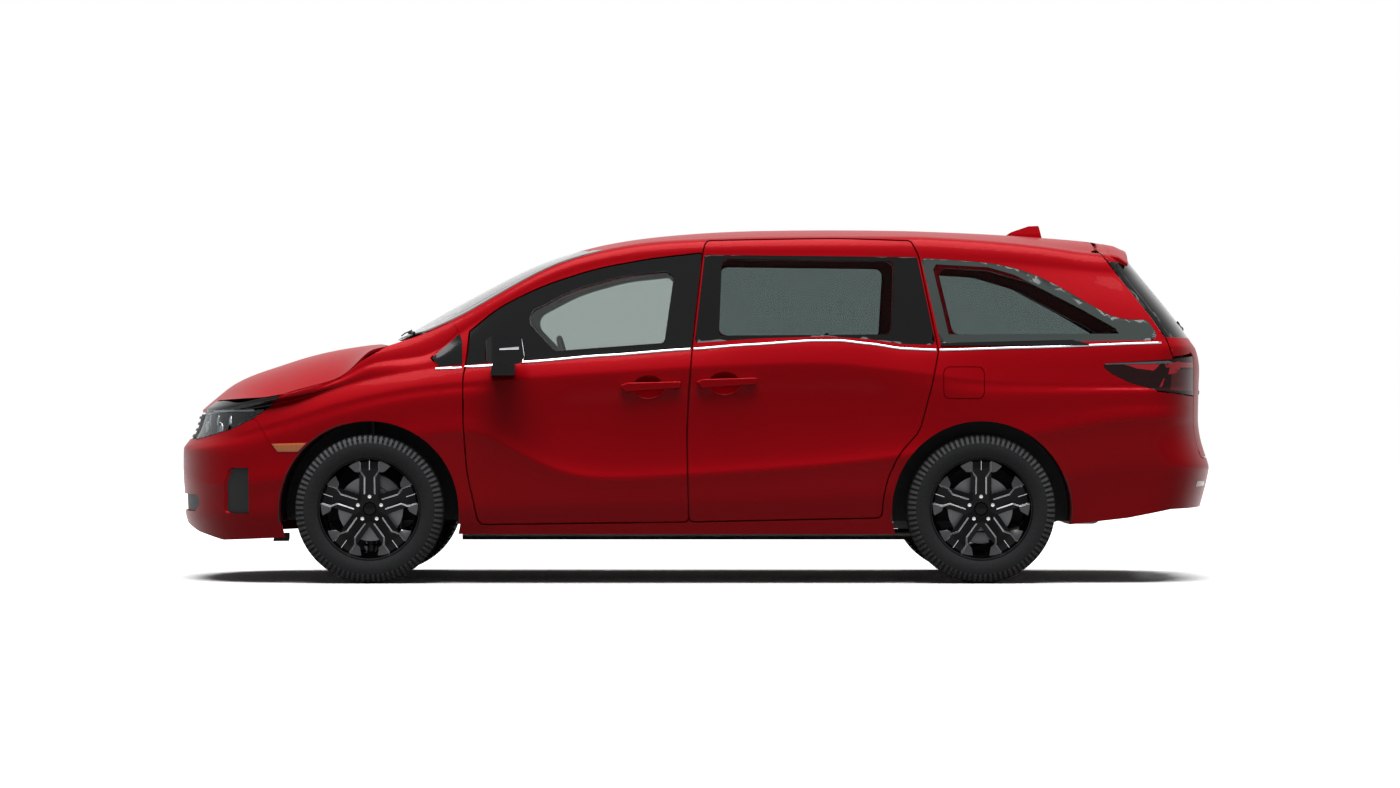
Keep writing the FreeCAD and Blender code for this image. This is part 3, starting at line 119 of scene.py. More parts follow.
# White where it is seen, and dark where it would throw light up under the sills.
paper = finish("white_paper", "#fbfbfb", Roughness=0.95, Specular_IOR_Level=0.0)
sheet = add_node(paper, "ValToRGB", {}, {"Fac": shown_ray(paper)})
sheet.color_ramp.elements[0].color = linear("#262626")
sheet.color_ramp.elements[1].color = linear("#fbfbfb")
plug(paper, sheet.outputs["Color"], "Base Color")
floor.data.materials.append(paper)

world = bpy.data.worlds.new("studio")
bpy.context.scene.world = world
world.use_nodes = True
room = world.node_tree.nodes["Background"]
room.inputs["Color"].default_value = (1, 1, 1, 1)
room.inputs["Strength"].default_value = ROOM_LIGHT
white = add_node(world, "Background", {"Color": (1, 1, 1, 1), "Strength": 1.0}, {})
mix = add_node(world, "MixShader", {},
               {0: shown_ray(world), 1: room.outputs["Background"], 2: white.outputs["Background"]})
world.node_tree.links.new(mix.outputs["Shader"], world.node_tree.nodes["World Output"].inputs["Surface"])

overhead = bpy.data.lights.new("overhead", "SUN")
overhead.energy = OVERHEAD_LIGHT
overhead.angle = OVERHEAD_SPREAD
overhead_lamp = bpy.data.objects.new("overhead", overhead)
overhead_lamp.rotation_euler = (OVERHEAD_TILT, 0.0, 0.0)
bpy.context.collection.objects.link(overhead_lamp)

# Body panels: pressed steel sheet, primed and sprayed in a deep red base with fine
# aluminium flake under clear lacquer. Turned away it is darker: part flake flop, part painted shade.


def laid_pattern(material, kind, settings):
    """The value of a pattern that lies still on a piece, by the piece's own coordinates."""
    place = add_node(material, "TexCoord", {}, {})
    pattern = add_node(material, kind, settings, {"Vector": place.outputs["Object"]})
    return pattern.outputs["Distance" if kind == "TexVoronoi" else "Fac"]


def uneven_shine(material, kind, settings, low, high):
    """Lets a finish's roughness wander between two values."""
    grain = add_node(material, "MapRange", {"To Min": low, "To Max": high},
                     {"Value": laid_pattern(material, kind, settings)})
    plug(material, grain.outputs["Result"], "Roughness")


red_paint = finish("flake_red_lacquer", "#a30b17", Metallic=0.08, Roughness=0.34,
                   Specular_IOR_Level=0.03, Coat_Weight=0.04, Coat_Roughness=0.02)
# Painted shade: the base colour goes from #a6000e facing the camera to #86000c where a panel turns away,
# which darkens the car's ends.
facing = add_node(red_paint, "LayerWeight", {"Blend": 0.35}, {})
depth = add_node(red_paint, "ValToRGB", {}, {"Fac": facing.outputs["Facing"]})
depth.color_ramp.elements[0].color = linear("#a6000e")
depth.color_ramp.elements[1].color = linear("#86000c")
plug(red_paint, depth.outputs["Color"], "Base Color")
# Flakes 1.1 mm across, far coarser than real ones so that they show.
uneven_shine(red_paint, "TexVoronoi", {"Scale": 900.0}, 0.28, 0.40)
dress(red_paint, "body_side_left", "body_side_right", "roof_panel", "front_fenders", "front_bumper",
      "rear_bumper", "sliding_door_left", "sliding_door_right", "front_door_left",
      "front_door_right", "hood", "tailgate", "fuel_flap")

# Tyres: carbon-black rubber moulded in a segmented tool, 235/55 on 19 inch wheels. The
# tread has three round grooves, and siped blocks run down over both shoulders.
AXLES = {"front_left": (-1.603, -0.855), "front_right": (-1.603, 0.855),
         "rear_left": (1.397, -0.855), "rear_right": (1.397, 0.855)}
HUB_HEIGHT = 0.366
TREAD_STEPS = 168
TYRE_PROFILE = [(-0.098, 0.244), (-0.104, 0.256), (-0.113, 0.272), (-0.1165, 0.300), (-0.114, 0.322),
                (-0.107, 0.342), (-0.093, 0.3585), (-0.056, 0.3655), (-0.044, 0.366), (-0.006, 0.366),
                (0.006, 0.366), (0.044, 0.366), (0.056, 0.3655), (0.093, 0.3585), (0.107, 0.342),
                (0.114, 0.322), (0.1165, 0.300), (0.113, 0.272), (0.104, 0.256), (0.098, 0.244)]
MIDDLE_GROOVE = 0.005
SIDE_GROOVE = (0.046, 0.055)
SIPE_BAND = (0.058, 0.092)
LUG_BAND = (0.094, 0.1125)
# Band of the painted highlight on the shoulder lugs.
SHOULDER_HIGHLIGHT_BAND = (0.094, 0.114)


def uneven_colour(material, kind, settings, dark, light):
    """Lets a finish's colour wander between two tones."""
    tone = add_node(material, "ValToRGB", {}, {"Fac": laid_pattern(material, kind, settings)})
    tone.color_ramp.elements[0].color = linear(dark)
    tone.color_ramp.elements[1].color = linear(light)
    plug(material, tone.outputs["Color"], "Base Color")


def raised_grain(material, kind, settings, strength, height):
    """Gives a finish a fine relief."""
    relief = add_node(material, "Bump", {"Strength": strength, "Distance": height},
                      {"Height": laid_pattern(material, kind, settings)})
    plug(material, relief.outputs["Normal"], "Normal")


rubber = finish("moulded_rubber", "#202122", Roughness=0.8, Specular_IOR_Level=0.2)
# Dust in patches about 17 mm across.
uneven_colour(rubber, "TexNoise", {"Scale": 60.0, "Detail": 6.0}, "#1b1c1d", "#303132")
# Pores 1.4 mm apart, coarser than real ones so that they show.
raised_grain(rubber, "TexNoise", {"Scale": 700.0, "Detail": 3.0}, 0.25, 0.0006)

# Painted highlight: the lug blocks on the tyre's shoulders get a light grey rubber, standing in for the light
# they catch.
lug_highlight_rubber = finish("painted_highlight_lug_rubber", "#555657", Roughness=0.75, Specular_IOR_Level=0.2)
# The painted highlight's tone wanders in patches about 25 mm across.
uneven_colour(lug_highlight_rubber, "TexNoise", {"Scale": 40.0, "Detail": 4.0}, "#474849", "#68696b")


def select_only(*pieces):
    """Selects these pieces and nothing else, with the first one active."""
    bpy.ops.object.select_all(action="DESELECT")
    for piece in pieces:
        piece.select_set(True)
    bpy.context.view_layer.objects.active = pieces[0]


def settle_at_origin(obj):
    """Puts a piece's place into its mesh."""
    select_only(obj)
    bpy.ops.object.transform_apply(location=True, rotation=True, scale=True)


def copied(obj, name, move=(0.0, 0.0, 0.0), flip=False):
    """A copy with its own mesh, moved, and turned over to the other side of the car if flip."""
    other = obj.copy()
    other.data = obj.data.copy()
    other.name = name
    bpy.context.collection.objects.link(other)
    if flip:
        other.data.transform(Matrix.Scale(-1, 4, (0, 1, 0)))
        other.data.flip_normals()
    other.data.transform(Matrix.Translation(move))
    return other


def mesh_from(name, points, edges, faces):
    """A new piece whose points are worked out by the script."""
    bpy.ops.mesh.primitive_circle_add(vertices=3, radius=0.1)
    piece = bpy.context.object
    piece.name = name
    piece.data.clear_geometry()
    piece.data.from_pydata(points, edges, faces)
    return piece


tyre = mesh_from("tyre_master", [(0.0, a, r) for a, r in TYRE_PROFILE],
                 [(i, i + 1) for i in range(len(TYRE_PROFILE) - 1)], [])
bpy.ops.object.mode_set(mode="EDIT")
bpy.ops.mesh.select_all(action="SELECT")
bpy.ops.mesh.spin(steps=TREAD_STEPS, angle=math.radians(360), center=(0, 0, 0), axis=(0, 1, 0))
bpy.ops.mesh.select_all(action="SELECT")
bpy.ops.mesh.remove_doubles(threshold=0.0001)
bpy.ops.mesh.normals_make_consistent(inside=False)
bpy.ops.mesh.select_all(action="DESELECT")
bpy.ops.object.mode_set(mode="OBJECT")


def pick_faces(obj, wanted):
    """Selects the faces that fit a test, for the next edit mode step."""
    bpy.ops.object.mode_set(mode="OBJECT")
    for face in obj.data.polygons:
        face.select = wanted(face)
    bpy.ops.object.mode_set(mode="EDIT")
    bpy.ops.mesh.select_mode(type="FACE")


def around(face):
    """Which of the tread's steps a face lies on."""
    return round((math.atan2(face.center.z, face.center.x) / (2 * math.pi) % 1.0) * TREAD_STEPS - 0.5)


def in_band(face, band, radius=0.0):
    """Whether a face lies in a band on either side of the tread's middle, beyond a radius."""
    return band[0] < abs(face.center.y) < band[1] and face.center.xz.length > radius


pick_faces(tyre, lambda f: in_band(f, SIDE_GROOVE) or abs(f.center.y) < MIDDLE_GROOVE)
bpy.ops.mesh.inset(thickness=0.0012, depth=-0.007, use_individual=False)
pick_faces(tyre, lambda f: in_band(f, LUG_BAND, 0.33) and around(f) % 2 == 0)
bpy.ops.mesh.inset(thickness=0.0010, depth=-0.0040, use_individual=True)
pick_faces(tyre, lambda f: in_band(f, SIPE_BAND, 0.35) and around(f) % 2 == 0)
bpy.ops.mesh.inset(thickness=0.0022, depth=-0.0055, use_individual=True)
bpy.ops.object.mode_set(mode="OBJECT")
bpy.ops.object.shade_smooth_by_angle(angle=math.radians(28))
tyre.data.materials.append(rubber)
tyre.data.materials.append(lug_highlight_rubber)
# The lug blocks on the shoulders take the painted highlight.
for face in tyre.data.polygons:
    if in_band(face, SHOULDER_HIGHLIGHT_BAND, 0.326) and around(face) % 2:
        face.material_index = 1
for wheel, (x, y) in AXLES.items():
    piece = copied(tyre, "tyre_tread_" + wheel, (x, y, HUB_HEIGHT))
    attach(piece, "wheel_" + wheel)
    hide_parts("tyre_" + wheel)
bpy.data.objects.remove(tyre)

# Wheels: low-pressure cast aluminium in gloss black powder coat, five broad spokes with a
# sunken panel each. Their ridges are bright metal, a painted highlight that draws the lines.
black_alloy = finish("gloss_black_cast_alloy", "#040405", Roughness=0.2,
                     Specular_IOR_Level=0.08, Coat_Weight=0.02, Coat_Roughness=0.04)
# Flow marks of the coat, about 25 mm across.
uneven_shine(black_alloy, "TexNoise", {"Scale": 40.0, "Detail": 4.0}, 0.10, 0.22)
# Painted highlight: a bright metal on the ridge walls and panel ribs draws the lines of light along the spoke
# edges.
highlight_metal = finish("painted_highlight_ridge_alloy", "#a6a8aa", Metallic=0.9, Roughness=0.3)
# Uneven shine in patches 3 mm apart. Tool marks 3 mm apart, coarser than real ones so
# that they show.
uneven_shine(highlight_metal, "TexNoise", {"Scale": 300.0, "Detail": 2.0}, 0.22, 0.4)
grey_alloy = finish("satin_grey_alloy", "#3a3b3d", Metallic=0.4, Roughness=0.35)
# Grain of the satin coat, 5 mm, coarser than real so that it shows.
uneven_shine(grey_alloy, "TexNoise", {"Scale": 200.0, "Detail": 2.0}, 0.28, 0.42)
# Half of one spoke, in millimetres: sideways from the spoke's middle line, out along it,
# and how deep the place lies below the wheel's face.
HALF_SPOKE = {"hub": (0, 34, 2), "hub_side": (20, 27.5, 2), "stem": (0, 72, 6), "stem_side": (22, 74, 5),
              "ridge": (28, 70, 0), "window": (51.7, 71.2, 7), "neck": (0, 155, 8), "neck_side": (21, 155, 7),
              "neck_ridge": (27.5, 153, 0), "window_side": (51, 178, 13), "panel": (0, 190, 14),
              "panel_side": (43.5, 187, 12), "panel_ridge": (50, 185, 1), "end": (0, 247, 14),
              "end_side": (43.5, 243, 12), "end_ridge": (50, 241, 1), "wedge": (113, 218, 9),
              "wedge_foot": (72.6, 180, 13)}
# Faces of the half spoke and their metal: 0 gloss black, 1 the bright painted highlight on the ridges, 2 the
# grey wedge.
SPOKE_FACES = [(("hub", "hub_side", "window", "ridge", "stem_side", "stem"), 0),
               (("stem", "stem_side", "neck_side", "neck"), 0),
               (("stem_side", "ridge", "neck_ridge", "neck_side"), 1),
               (("ridge", "window", "window_side", "neck_ridge"), 0),
               (("neck", "neck_side", "panel_side", "panel"), 0),
               (("neck_side", "neck_ridge", "panel_ridge", "panel_side"), 1),
               (("neck_ridge", "window_side", "panel_ridge"), 0),
               (("panel_ridge", "window_side", "wedge_foot", "wedge", "end_ridge"), 2),
               (("panel", "panel_side", "end_side", "end"), 0),
               (("panel_side", "panel_ridge", "end_ridge", "end_side"), 1)]
SPOKES = 5
SPOKE_TURN = math.radians(360 / SPOKES)
SPOKE_WALL = 0.016
WHEEL_FACE = 0.060
WHEEL_DISH = 0.120
RIB_SIZE = (0.006, 0.010, 0.058)
RIB_RADIUS = 0.218
BARREL_PROFILE = [(-0.104, 0.257), (-0.104, 0.250), (-0.098, 0.2465), (-0.088, 0.240), (-0.060, 0.222),
                  (0.020, 0.216), (0.085, 0.234), (0.098, 0.240), (0.104, 0.249), (0.104, 0.257),
                  (0.099, 0.2440), (0.080, 0.240), (0.020, 0.223), (-0.060, 0.229), (-0.088, 0.2437),
                  (-0.098, 0.2442)]
CAP_PROFILE = [(-0.066, 0.0), (-0.0655, 0.020), (-0.0635, 0.0285), (-0.058, 0.0315), (-0.050, 0.0345),
               (-0.030, 0.0700), (0.000, 0.0700), (0.000, 0.0)]


def turned(name, profile, angle, steps, start=0.0):
    """A profile of (inward offset, radius) points turned about the axle, for the left side."""
    n = len(profile)
    turn = Matrix.Rotation(start, 3, "Y")
    piece = mesh_from(name, [tuple(turn @ Vector((0.0, a, r))) for a, r in profile],
                      [(i, (i + 1) % n) for i in range(n)], [])
    bpy.ops.object.mode_set(mode="EDIT")
    bpy.ops.mesh.select_all(action="SELECT")
    bpy.ops.mesh.spin(steps=steps, angle=math.radians(angle), center=(0, 0, 0), axis=(0, 1, 0))
    bpy.ops.mesh.select_all(action="SELECT")
    bpy.ops.mesh.remove_doubles(threshold=0.0001)
    if angle < 359:
        bpy.ops.mesh.fill_holes(sides=0)
    bpy.ops.mesh.normals_make_consistent(inside=False)
    bpy.ops.object.mode_set(mode="OBJECT")
    bpy.ops.object.shade_smooth_by_angle(angle=math.radians(30))
    return piece


def joined(parts, name):
    """Several meshes as one piece at the origin."""
    select_only(*parts)
    bpy.ops.object.join()
    whole = bpy.context.object
    whole.name = name
    settle_at_origin(whole)
    bpy.ops.object.shade_smooth_by_angle(angle=math.radians(30))
    return whole


def rounded(piece, width, segments, angle=30):
    """Rounds the edges of the active piece where it turns by more than an angle."""
    edge = piece.modifiers.new("edge", "BEVEL")
    edge.width, edge.segments, edge.angle_limit = width, segments, math.radians(angle)
    bpy.ops.object.modifier_apply(modifier="edge")


def walled(piece, thick):
    """Gives the active sheet a wall behind its face."""
    solid = piece.modifiers.new("solid", "SOLIDIFY")
    solid.thickness, solid.offset = thick, -1.0
    bpy.ops.object.modifier_apply(modifier="solid")


order = list(HALF_SPOKE)
half_spoke = mesh_from(
    "half_spoke", [(t / 1000, -(WHEEL_FACE + WHEEL_DISH * r / 1000) + d / 1000, r / 1000)
                   for t, r, d in HALF_SPOKE.values()],
    [], [[order.index(corner) for corner in face] for face, _ in SPOKE_FACES])
for metal in (black_alloy, highlight_metal, grey_alloy):
    half_spoke.data.materials.append(metal)
for face, (_, metal) in zip(half_spoke.data.polygons, SPOKE_FACES):
    face.material_index = metal
spokes = []
for n in range(SPOKES):
    for side in (1, -1):
        part = copied(half_spoke, "spoke")
        part.data.transform(Matrix.Rotation(SPOKE_TURN * n, 4, "Y") @ Matrix.Scale(side, 4, (1, 0, 0)))
        spokes.append(part)
face_plate = joined(spokes, "wheel_face")
bpy.ops.object.mode_set(mode="EDIT")
bpy.ops.mesh.select_all(action="SELECT")
bpy.ops.mesh.remove_doubles(threshold=0.0002)
bpy.ops.mesh.normals_make_consistent(inside=False)
bpy.ops.object.mode_set(mode="OBJECT")
if sum(f.normal.y * f.area for f in face_plate.data.polygons) > 0:
    face_plate.data.flip_normals()
walled(face_plate, SPOKE_WALL)
rounded(face_plate, 0.0012, 2, 35)
# Ribs down each panel's middle, in the bright metal of the painted highlight.
ribs = []
for n in range(SPOKES):
    bpy.ops.mesh.primitive_cube_add(size=1.0)
    rib = bpy.context.object
    rib.scale = RIB_SIZE
    settle_at_origin(rib)
    pick_faces(rib, lambda f: f.normal.y < -0.9)
    bpy.ops.transform.resize(value=(0.5, 1.0, 0.96))
    bpy.ops.object.mode_set(mode="OBJECT")
    seat = (0.0, -(WHEEL_FACE + WHEEL_DISH * RIB_RADIUS) + 0.011, RIB_RADIUS)
    rib.data.transform(Matrix.Rotation(SPOKE_TURN * n, 4, "Y") @ Matrix.Translation(seat))
    rib.data.materials.append(highlight_metal)
    ribs.append(rib)
barrel = turned("barrel", BARREL_PROFILE, 360, 96)
cap = turned("cap", CAP_PROFILE, 360, 48)
for part in (barrel, cap):
    part.data.materials.append(black_alloy)
alloy = joined([face_plate, barrel, cap] + ribs, "alloy_wheel")
for wheel, (x, y) in AXLES.items():
    piece = copied(alloy, "alloy_wheel_" + wheel, (x, y, HUB_HEIGHT), flip=y > 0)
    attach(piece, "wheel_" + wheel)
    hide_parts("rim_" + wheel)
for spare in (half_spoke, alloy):
    bpy.data.objects.remove(spare)

# Wheel nuts and hub cap ring: forged steel nuts with a chrome skin, five on a 120 mm
# circle, their cone seats sunk in the wheel's hub.
chrome = finish("bright_chrome_plate", "#b4b7ba", Metallic=1.0, Roughness=0.12)
# A haze from wiping, in patches of 11 mm.
uneven_shine(chrome, "TexNoise", {"Scale": 90.0, "Detail": 3.0}, 0.08, 0.20)
NUTS = 5
NUT_FACE_Y = -0.062
NUT_CIRCLE = 0.060
for wheel, (x, y) in AXLES.items():
    side = 1.0 if y < 0 else -1.0
    nuts = []
    for n in range(NUTS):
        a = math.radians(90 + 360 / NUTS * n)
        bpy.ops.mesh.primitive_cylinder_add(vertices=6, radius=0.0105, depth=0.020,
                                            location=(x + NUT_CIRCLE * math.cos(a), y + side * NUT_FACE_Y,
                                                      HUB_HEIGHT + NUT_CIRCLE * math.sin(a)),
                                            rotation=(math.radians(90), 0, 0))
        nuts.append(bpy.context.object)
        rounded(nuts[-1], 0.0025, 2)
    nuts = joined(nuts, "wheel_nuts_" + wheel)
    nuts.data.materials.append(chrome)
    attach(nuts, "wheel_" + wheel)

# Belt moulding: a bright strip of rolled stainless steel, clipped along the foot of the
# windows. It is cut at each door, and every length is carried by its own panel.
STRIP_TALL = 0.010
STRIP_PROUD = 0.0032
STRIP_EASE = 0.35
FAR_OUT = 3.5
BELT = [(-1.283, 1.054), (-1.031, 1.068), (-0.840, 1.087), (-0.450, 1.119), (-0.031, 1.150), (0.248, 1.171),
        (0.576, 1.192), (0.707, 1.192), (0.850, 1.176), (1.014, 1.152), (1.183, 1.145), (1.630, 1.158),
        (2.300, 1.182)]


def skin_of(*nodes):
    """Search tree over CAD nodes, for laying trim on them."""
    points, faces = [], []
    for name in nodes:
        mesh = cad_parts[name].data
        start = len(points)
        points += [v.co.copy() for v in mesh.vertices]
        faces += [tuple(start + i for i in p.vertices) for p in mesh.polygons]
    return BVHTree.FromPolygons(points, faces)


def lay_on(obj, skin, proud, way=(0, 1, 0)):
    """Moves each point of a flat piece along way until it lies proud of the skin."""
    way = Vector(way)
    last = None
    for v in obj.data.vertices:
        hit = skin.ray_cast(v.co - way * FAR_OUT, way)
        if hit[0] is None:
            hit = skin.find_nearest(v.co if last is None else Vector((v.co.x, last, v.co.z)))
        if way.y:
            v.co.y = hit[0].y - way.y * proud
            last = v.co.y
        elif way.x:
            v.co.x = hit[0].x - way.x * proud
        else:
            v.co.z = hit[0].z - way.z * proud
    obj.data.update()


def thicken(obj, thick, edge, name):
    """Gives a laid piece its thickness and a small rounded edge."""
    select_only(obj)
    walled(obj, thick)
    if edge:
        rounded(obj, edge, 2, 50)
    bpy.ops.object.shade_smooth_by_angle(angle=math.radians(35))
    obj.name = name


def both_sides(piece, name, body, material):
    """Puts a left piece on its body, and its mirror copy on the other side."""
    piece.name = name + "_left"
    piece.data.materials.append(material)
    other = copied(piece, name + "_right", flip=True)
    for part, rider in ((piece, body), (other, body.replace("_left", "_right"))):
        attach(part, rider)


def belt_height(x):
    """Height of the belt line, eased a little at its corners."""
    for (x0, z0), (x1, z1) in zip(BELT, BELT[1:]):
        if x <= x1:
            t = max(0.0, (x - x0) / (x1 - x0))
            return z0 + (z1 - z0) * (t * t * (3 - 2 * t) * STRIP_EASE + t * (1 - STRIP_EASE))
    return BELT[-1][1]


def belt_strip(name, x0, x1, nodes, body):
    """One length of the moulding, on both sides of the car."""
    steps = max(4, int((x1 - x0) / 0.025))
    bpy.ops.mesh.primitive_grid_add(x_subdivisions=steps, y_subdivisions=2, size=1.0)
    strip = bpy.context.object
    for v in strip.data.vertices:
        x = x0 + (v.co.x + 0.5) * (x1 - x0)
        v.co = (x, 0.0, belt_height(x) + v.co.y * STRIP_TALL)
    lay_on(strip, skin_of(*nodes), STRIP_PROUD)
    bpy.ops.object.mode_set(mode="EDIT")
    bpy.ops.mesh.select_all(action="SELECT")
    bpy.ops.mesh.normals_make_consistent(inside=False)
    bpy.ops.object.mode_set(mode="OBJECT")
    if strip.data.polygons[0].normal.y > 0:
        strip.data.flip_normals()
    thicken(strip, 0.004, 0.0012, name)
    both_sides(strip, name, body, chrome)


belt_strip("belt_strip_front", -1.283, -1.152, ["front_fenders", "body_side_left"], "car_body")
belt_strip("belt_strip_front_door", -1.138, -0.030, ["front_door_left", "door_frame_left"], "door_left")
belt_strip("belt_strip_sliding_door", -0.014, 1.178, ["sliding_door_left", "sliding_glass"], "car_body")
belt_strip("belt_strip_quarter", 1.194, 2.290, ["body_side_left", "quarter_glass"], "car_body")

# Window surrounds: gloss black acrylic plates over the door pillars and the corner ahead
# of the front door. They are moulded thin and clipped flush with the glass.
piano_black = finish("gloss_black_acrylic", "#060707", Roughness=0.07, Specular_IOR_Level=0.2)
# Slow waves of the polish, about 40 mm long.
uneven_shine(piano_black, "TexNoise", {"Scale": 25.0, "Detail": 3.0}, 0.05, 0.14)
dress(piano_black, "door_frame_left", "door_frame_right", "mirror_left", "mirror_right")


VIEWS = {"side": ((1, 0, 0), (0, 0, 1), (0, 1, 0)), "rear": ((0, 1, 0), (0, 0, 1), (-1, 0, 0)),
         "plan": ((1, 0, 0), (0, 1, 0), (0, 0, -1))}


def edge_planes(outline, view):
    """A plane through each edge of a convex outline, its normal pointing out of it."""
    across, up = (Vector(v) for v in VIEWS[view][:2])
    pairs = list(zip(outline, outline[1:] + outline[:1]))
    turn = sum(a[0] * b[1] - b[0] * a[1] for a, b in pairs)
    planes = []
    for a, b in pairs:
        out = across * (b[1] - a[1]) - up * (b[0] - a[0])
        planes.append((across * a[0] + up * a[1], out if turn > 0 else -out))
    return planes


def cut_along(planes, **options):
    """Cuts all of the active piece along planes, each given by a point and its normal."""
    bpy.ops.object.mode_set(mode="EDIT")
    for foot, normal in planes:
        bpy.ops.mesh.select_all(action="SELECT")
        bpy.ops.mesh.bisect(plane_co=foot, plane_no=normal, **options)
    bpy.ops.object.mode_set(mode="OBJECT")


def flat_piece(outline, cell=0.02, view="side"):
    """A flat grid seen from one side of the car, cut to a convex outline."""
    across, up, way = (Vector(v) for v in VIEWS[view])
    us, vs = [p[0] for p in outline], [p[1] for p in outline]
    nu = max(3, int((max(us) - min(us)) / cell))
    nv = max(3, int((max(vs) - min(vs)) / cell))
    bpy.ops.mesh.primitive_grid_add(x_subdivisions=nu, y_subdivisions=nv, size=1.0)
    piece = bpy.context.object
    for v in piece.data.vertices:
        v.co = (across * (min(us) + (v.co.x + 0.5) * (max(us) - min(us)))
                + up * (min(vs) + (v.co.y + 0.5) * (max(vs) - min(vs))))
    cut_along(edge_planes(outline, view), clear_outer=True)
    if piece.data.polygons[0].normal.dot(way) > 0:
        piece.data.flip_normals()
    return piece


def cover(name, outline, nodes, body, material, proud=0.0012, thick=0.0016, edge=0.0,
          view="side", cell=0.02):
    """A thin plate laid on both sides of the car."""
    piece = flat_piece(outline, cell, view)
    lay_on(piece, skin_of(*nodes), proud, VIEWS[view][2])
    thicken(piece, thick, edge, name)
    both_sides(piece, name, body, material)


cover("corner_plate", [(-1.300, 1.106), (-1.166, 1.226), (-1.152, 1.190), (-1.150, 1.074), (-1.262, 1.064)],
      ["front_fenders", "body_side_left"], "car_body", piano_black)
cover("rail_cover", [(1.200, 1.166), (1.204, 1.180), (1.850, 1.196), (1.930, 1.176), (1.930, 1.170)],
      ["body_side_left", "quarter_glass"], "car_body", piano_black, proud=0.006, thick=0.006)

# Window glass: float glass, clear with a slight green tint in front, and dark privacy
# glass coloured in the melt behind the front doors.
clear_glass = finish("tinted_float_glass", "#c0c8c5", Roughness=0.0, IOR=1.45,
                     Transmission_Weight=1.0)
dress(clear_glass, "door_glass_left", "door_glass_right")
privacy_glass = finish("privacy_float_glass", "#909a98", Roughness=0.0, IOR=1.12,
                       Transmission_Weight=1.0)

# Window borders: ceramic frit, a black glass paste fired onto the pane's edge. It hides
# the glue and the pillars behind, and reaches round the tailgate's corners.
frit_black = finish("fired_ceramic_frit", "#0d0e0e", Roughness=0.08, Specular_IOR_Level=0.15)
# Slow waves in the glass, about 33 mm long.
uneven_shine(frit_black, "TexNoise", {"Scale": 30.0, "Detail": 2.0}, 0.05, 0.15)

smoked_edge = finish("smoked_enamel_edge", "#3f4745", Roughness=0.05, Specular_IOR_Level=0.2)
# Slow waves in the glass, about 50 mm long.
uneven_shine(smoked_edge, "TexNoise", {"Scale": 20.0, "Detail": 2.0}, 0.03, 0.10)


def merged_copy(node, name):
    """A CAD node's mesh as a piece of its own, with its loose triangles joined."""
    piece = copied(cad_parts[node], name)
    piece.parent = None
    piece.matrix_world = Matrix.Identity(4)
    piece.data.materials.clear()
    select_only(piece)
    bpy.ops.object.mode_set(mode="EDIT")
    bpy.ops.mesh.select_all(action="SELECT")
    bpy.ops.mesh.remove_doubles(threshold=0.00003)
    bpy.ops.object.mode_set(mode="OBJECT")
    return piece


def bordered_pane(name, node, outline, view, body, glass, rim):
    """A pane whose rim outside a convex outline has a border of its own."""
    pane = merged_copy(node, name)
    planes = edge_planes(outline, view)
    cut_along(planes)
    pane.data.materials.append(glass)
    pane.data.materials.append(rim)
    for face in pane.data.polygons:
        inside = all((face.center - foot).dot(out) < 0 for foot, out in planes)
        face.material_index = 0 if inside else 1
    bpy.ops.object.shade_smooth_by_angle(angle=math.radians(35))
    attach(pane, body)
    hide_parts(node)


bordered_pane("sliding_glass_pane", "sliding_glass",
              [(0.112, 1.235), (0.126, 1.216), (0.940, 1.222), (0.960, 1.240), (0.976, 1.565), (0.955, 1.586),
               (0.150, 1.598), (0.126, 1.575)], "side", "car_body",
              privacy_glass, frit_black)
bordered_pane("quarter_glass_pane", "quarter_glass",
              [(1.240, 1.222), (1.170, 1.545), (1.185, 1.570), (1.440, 1.556), (1.560, 1.522), (1.680, 1.472),
               (1.900, 1.346), (2.060, 1.262), (2.080, 1.226)], "side", "car_body",
              privacy_glass, smoked_edge)
bordered_pane("tailgate_glass_pane", "tailgate_glass",
              [(-0.565, 1.275), (-0.535, 1.255), (0.535, 1.255), (0.565, 1.275), (0.525, 1.505),
               (0.500, 1.528), (-0.500, 1.528), (-0.525, 1.505)], "rear", "tailgate_body",
              privacy_glass, frit_black)
bordered_pane("windscreen_pane", "windscreen",
              [(-1.415, -0.400), (-1.340, -0.610), (-1.300, -0.630), (-0.680, -0.580), (-0.640, -0.540),
               (-0.560, 0.0), (-0.640, 0.540), (-0.680, 0.580), (-1.300, 0.630), (-1.340, 0.610),
               (-1.415, 0.400), (-1.450, 0.0)], "plan", "car_body", clear_glass, frit_black)

# Headlamps: a clear hard-coated polycarbonate cover over a black housing. Projectors in
# bright rings sit low at the corner, and a light guide runs under the dark brow.
LAMP_HEART = (-2.05, 0.45, 0.74)
COVER_TURN = 0.35
COVER_WALL = 0.0025
HOUSING_WALL = 0.0012
BROW_FOOT = (-2.46, 0.0, 0.850)
BROW_WAY = (-0.02, 0.0, 1.0)
LAMP_FLOOR = [((-2.484, 0, 0.706), (0.262, 0, -0.965))]
cover_plastic = finish("hard_coated_polycarbonate", "#b4bbbe", Roughness=0.01, IOR=1.25,
                       Transmission_Weight=1.0)
housing_black = finish("satin_black_lamp_housing", "#0e0f10", Roughness=0.4, Specular_IOR_Level=0.05)
# Moulded ribs 16 mm apart.
raised_grain(housing_black, "TexWave", {"Scale": 20.0, "Distortion": 0.0, "bands_direction": "Z"},
             0.15, 0.002)
opal = finish("frosted_light_guide", "#eff3f5", Roughness=0.35, Transmission_Weight=0.3)


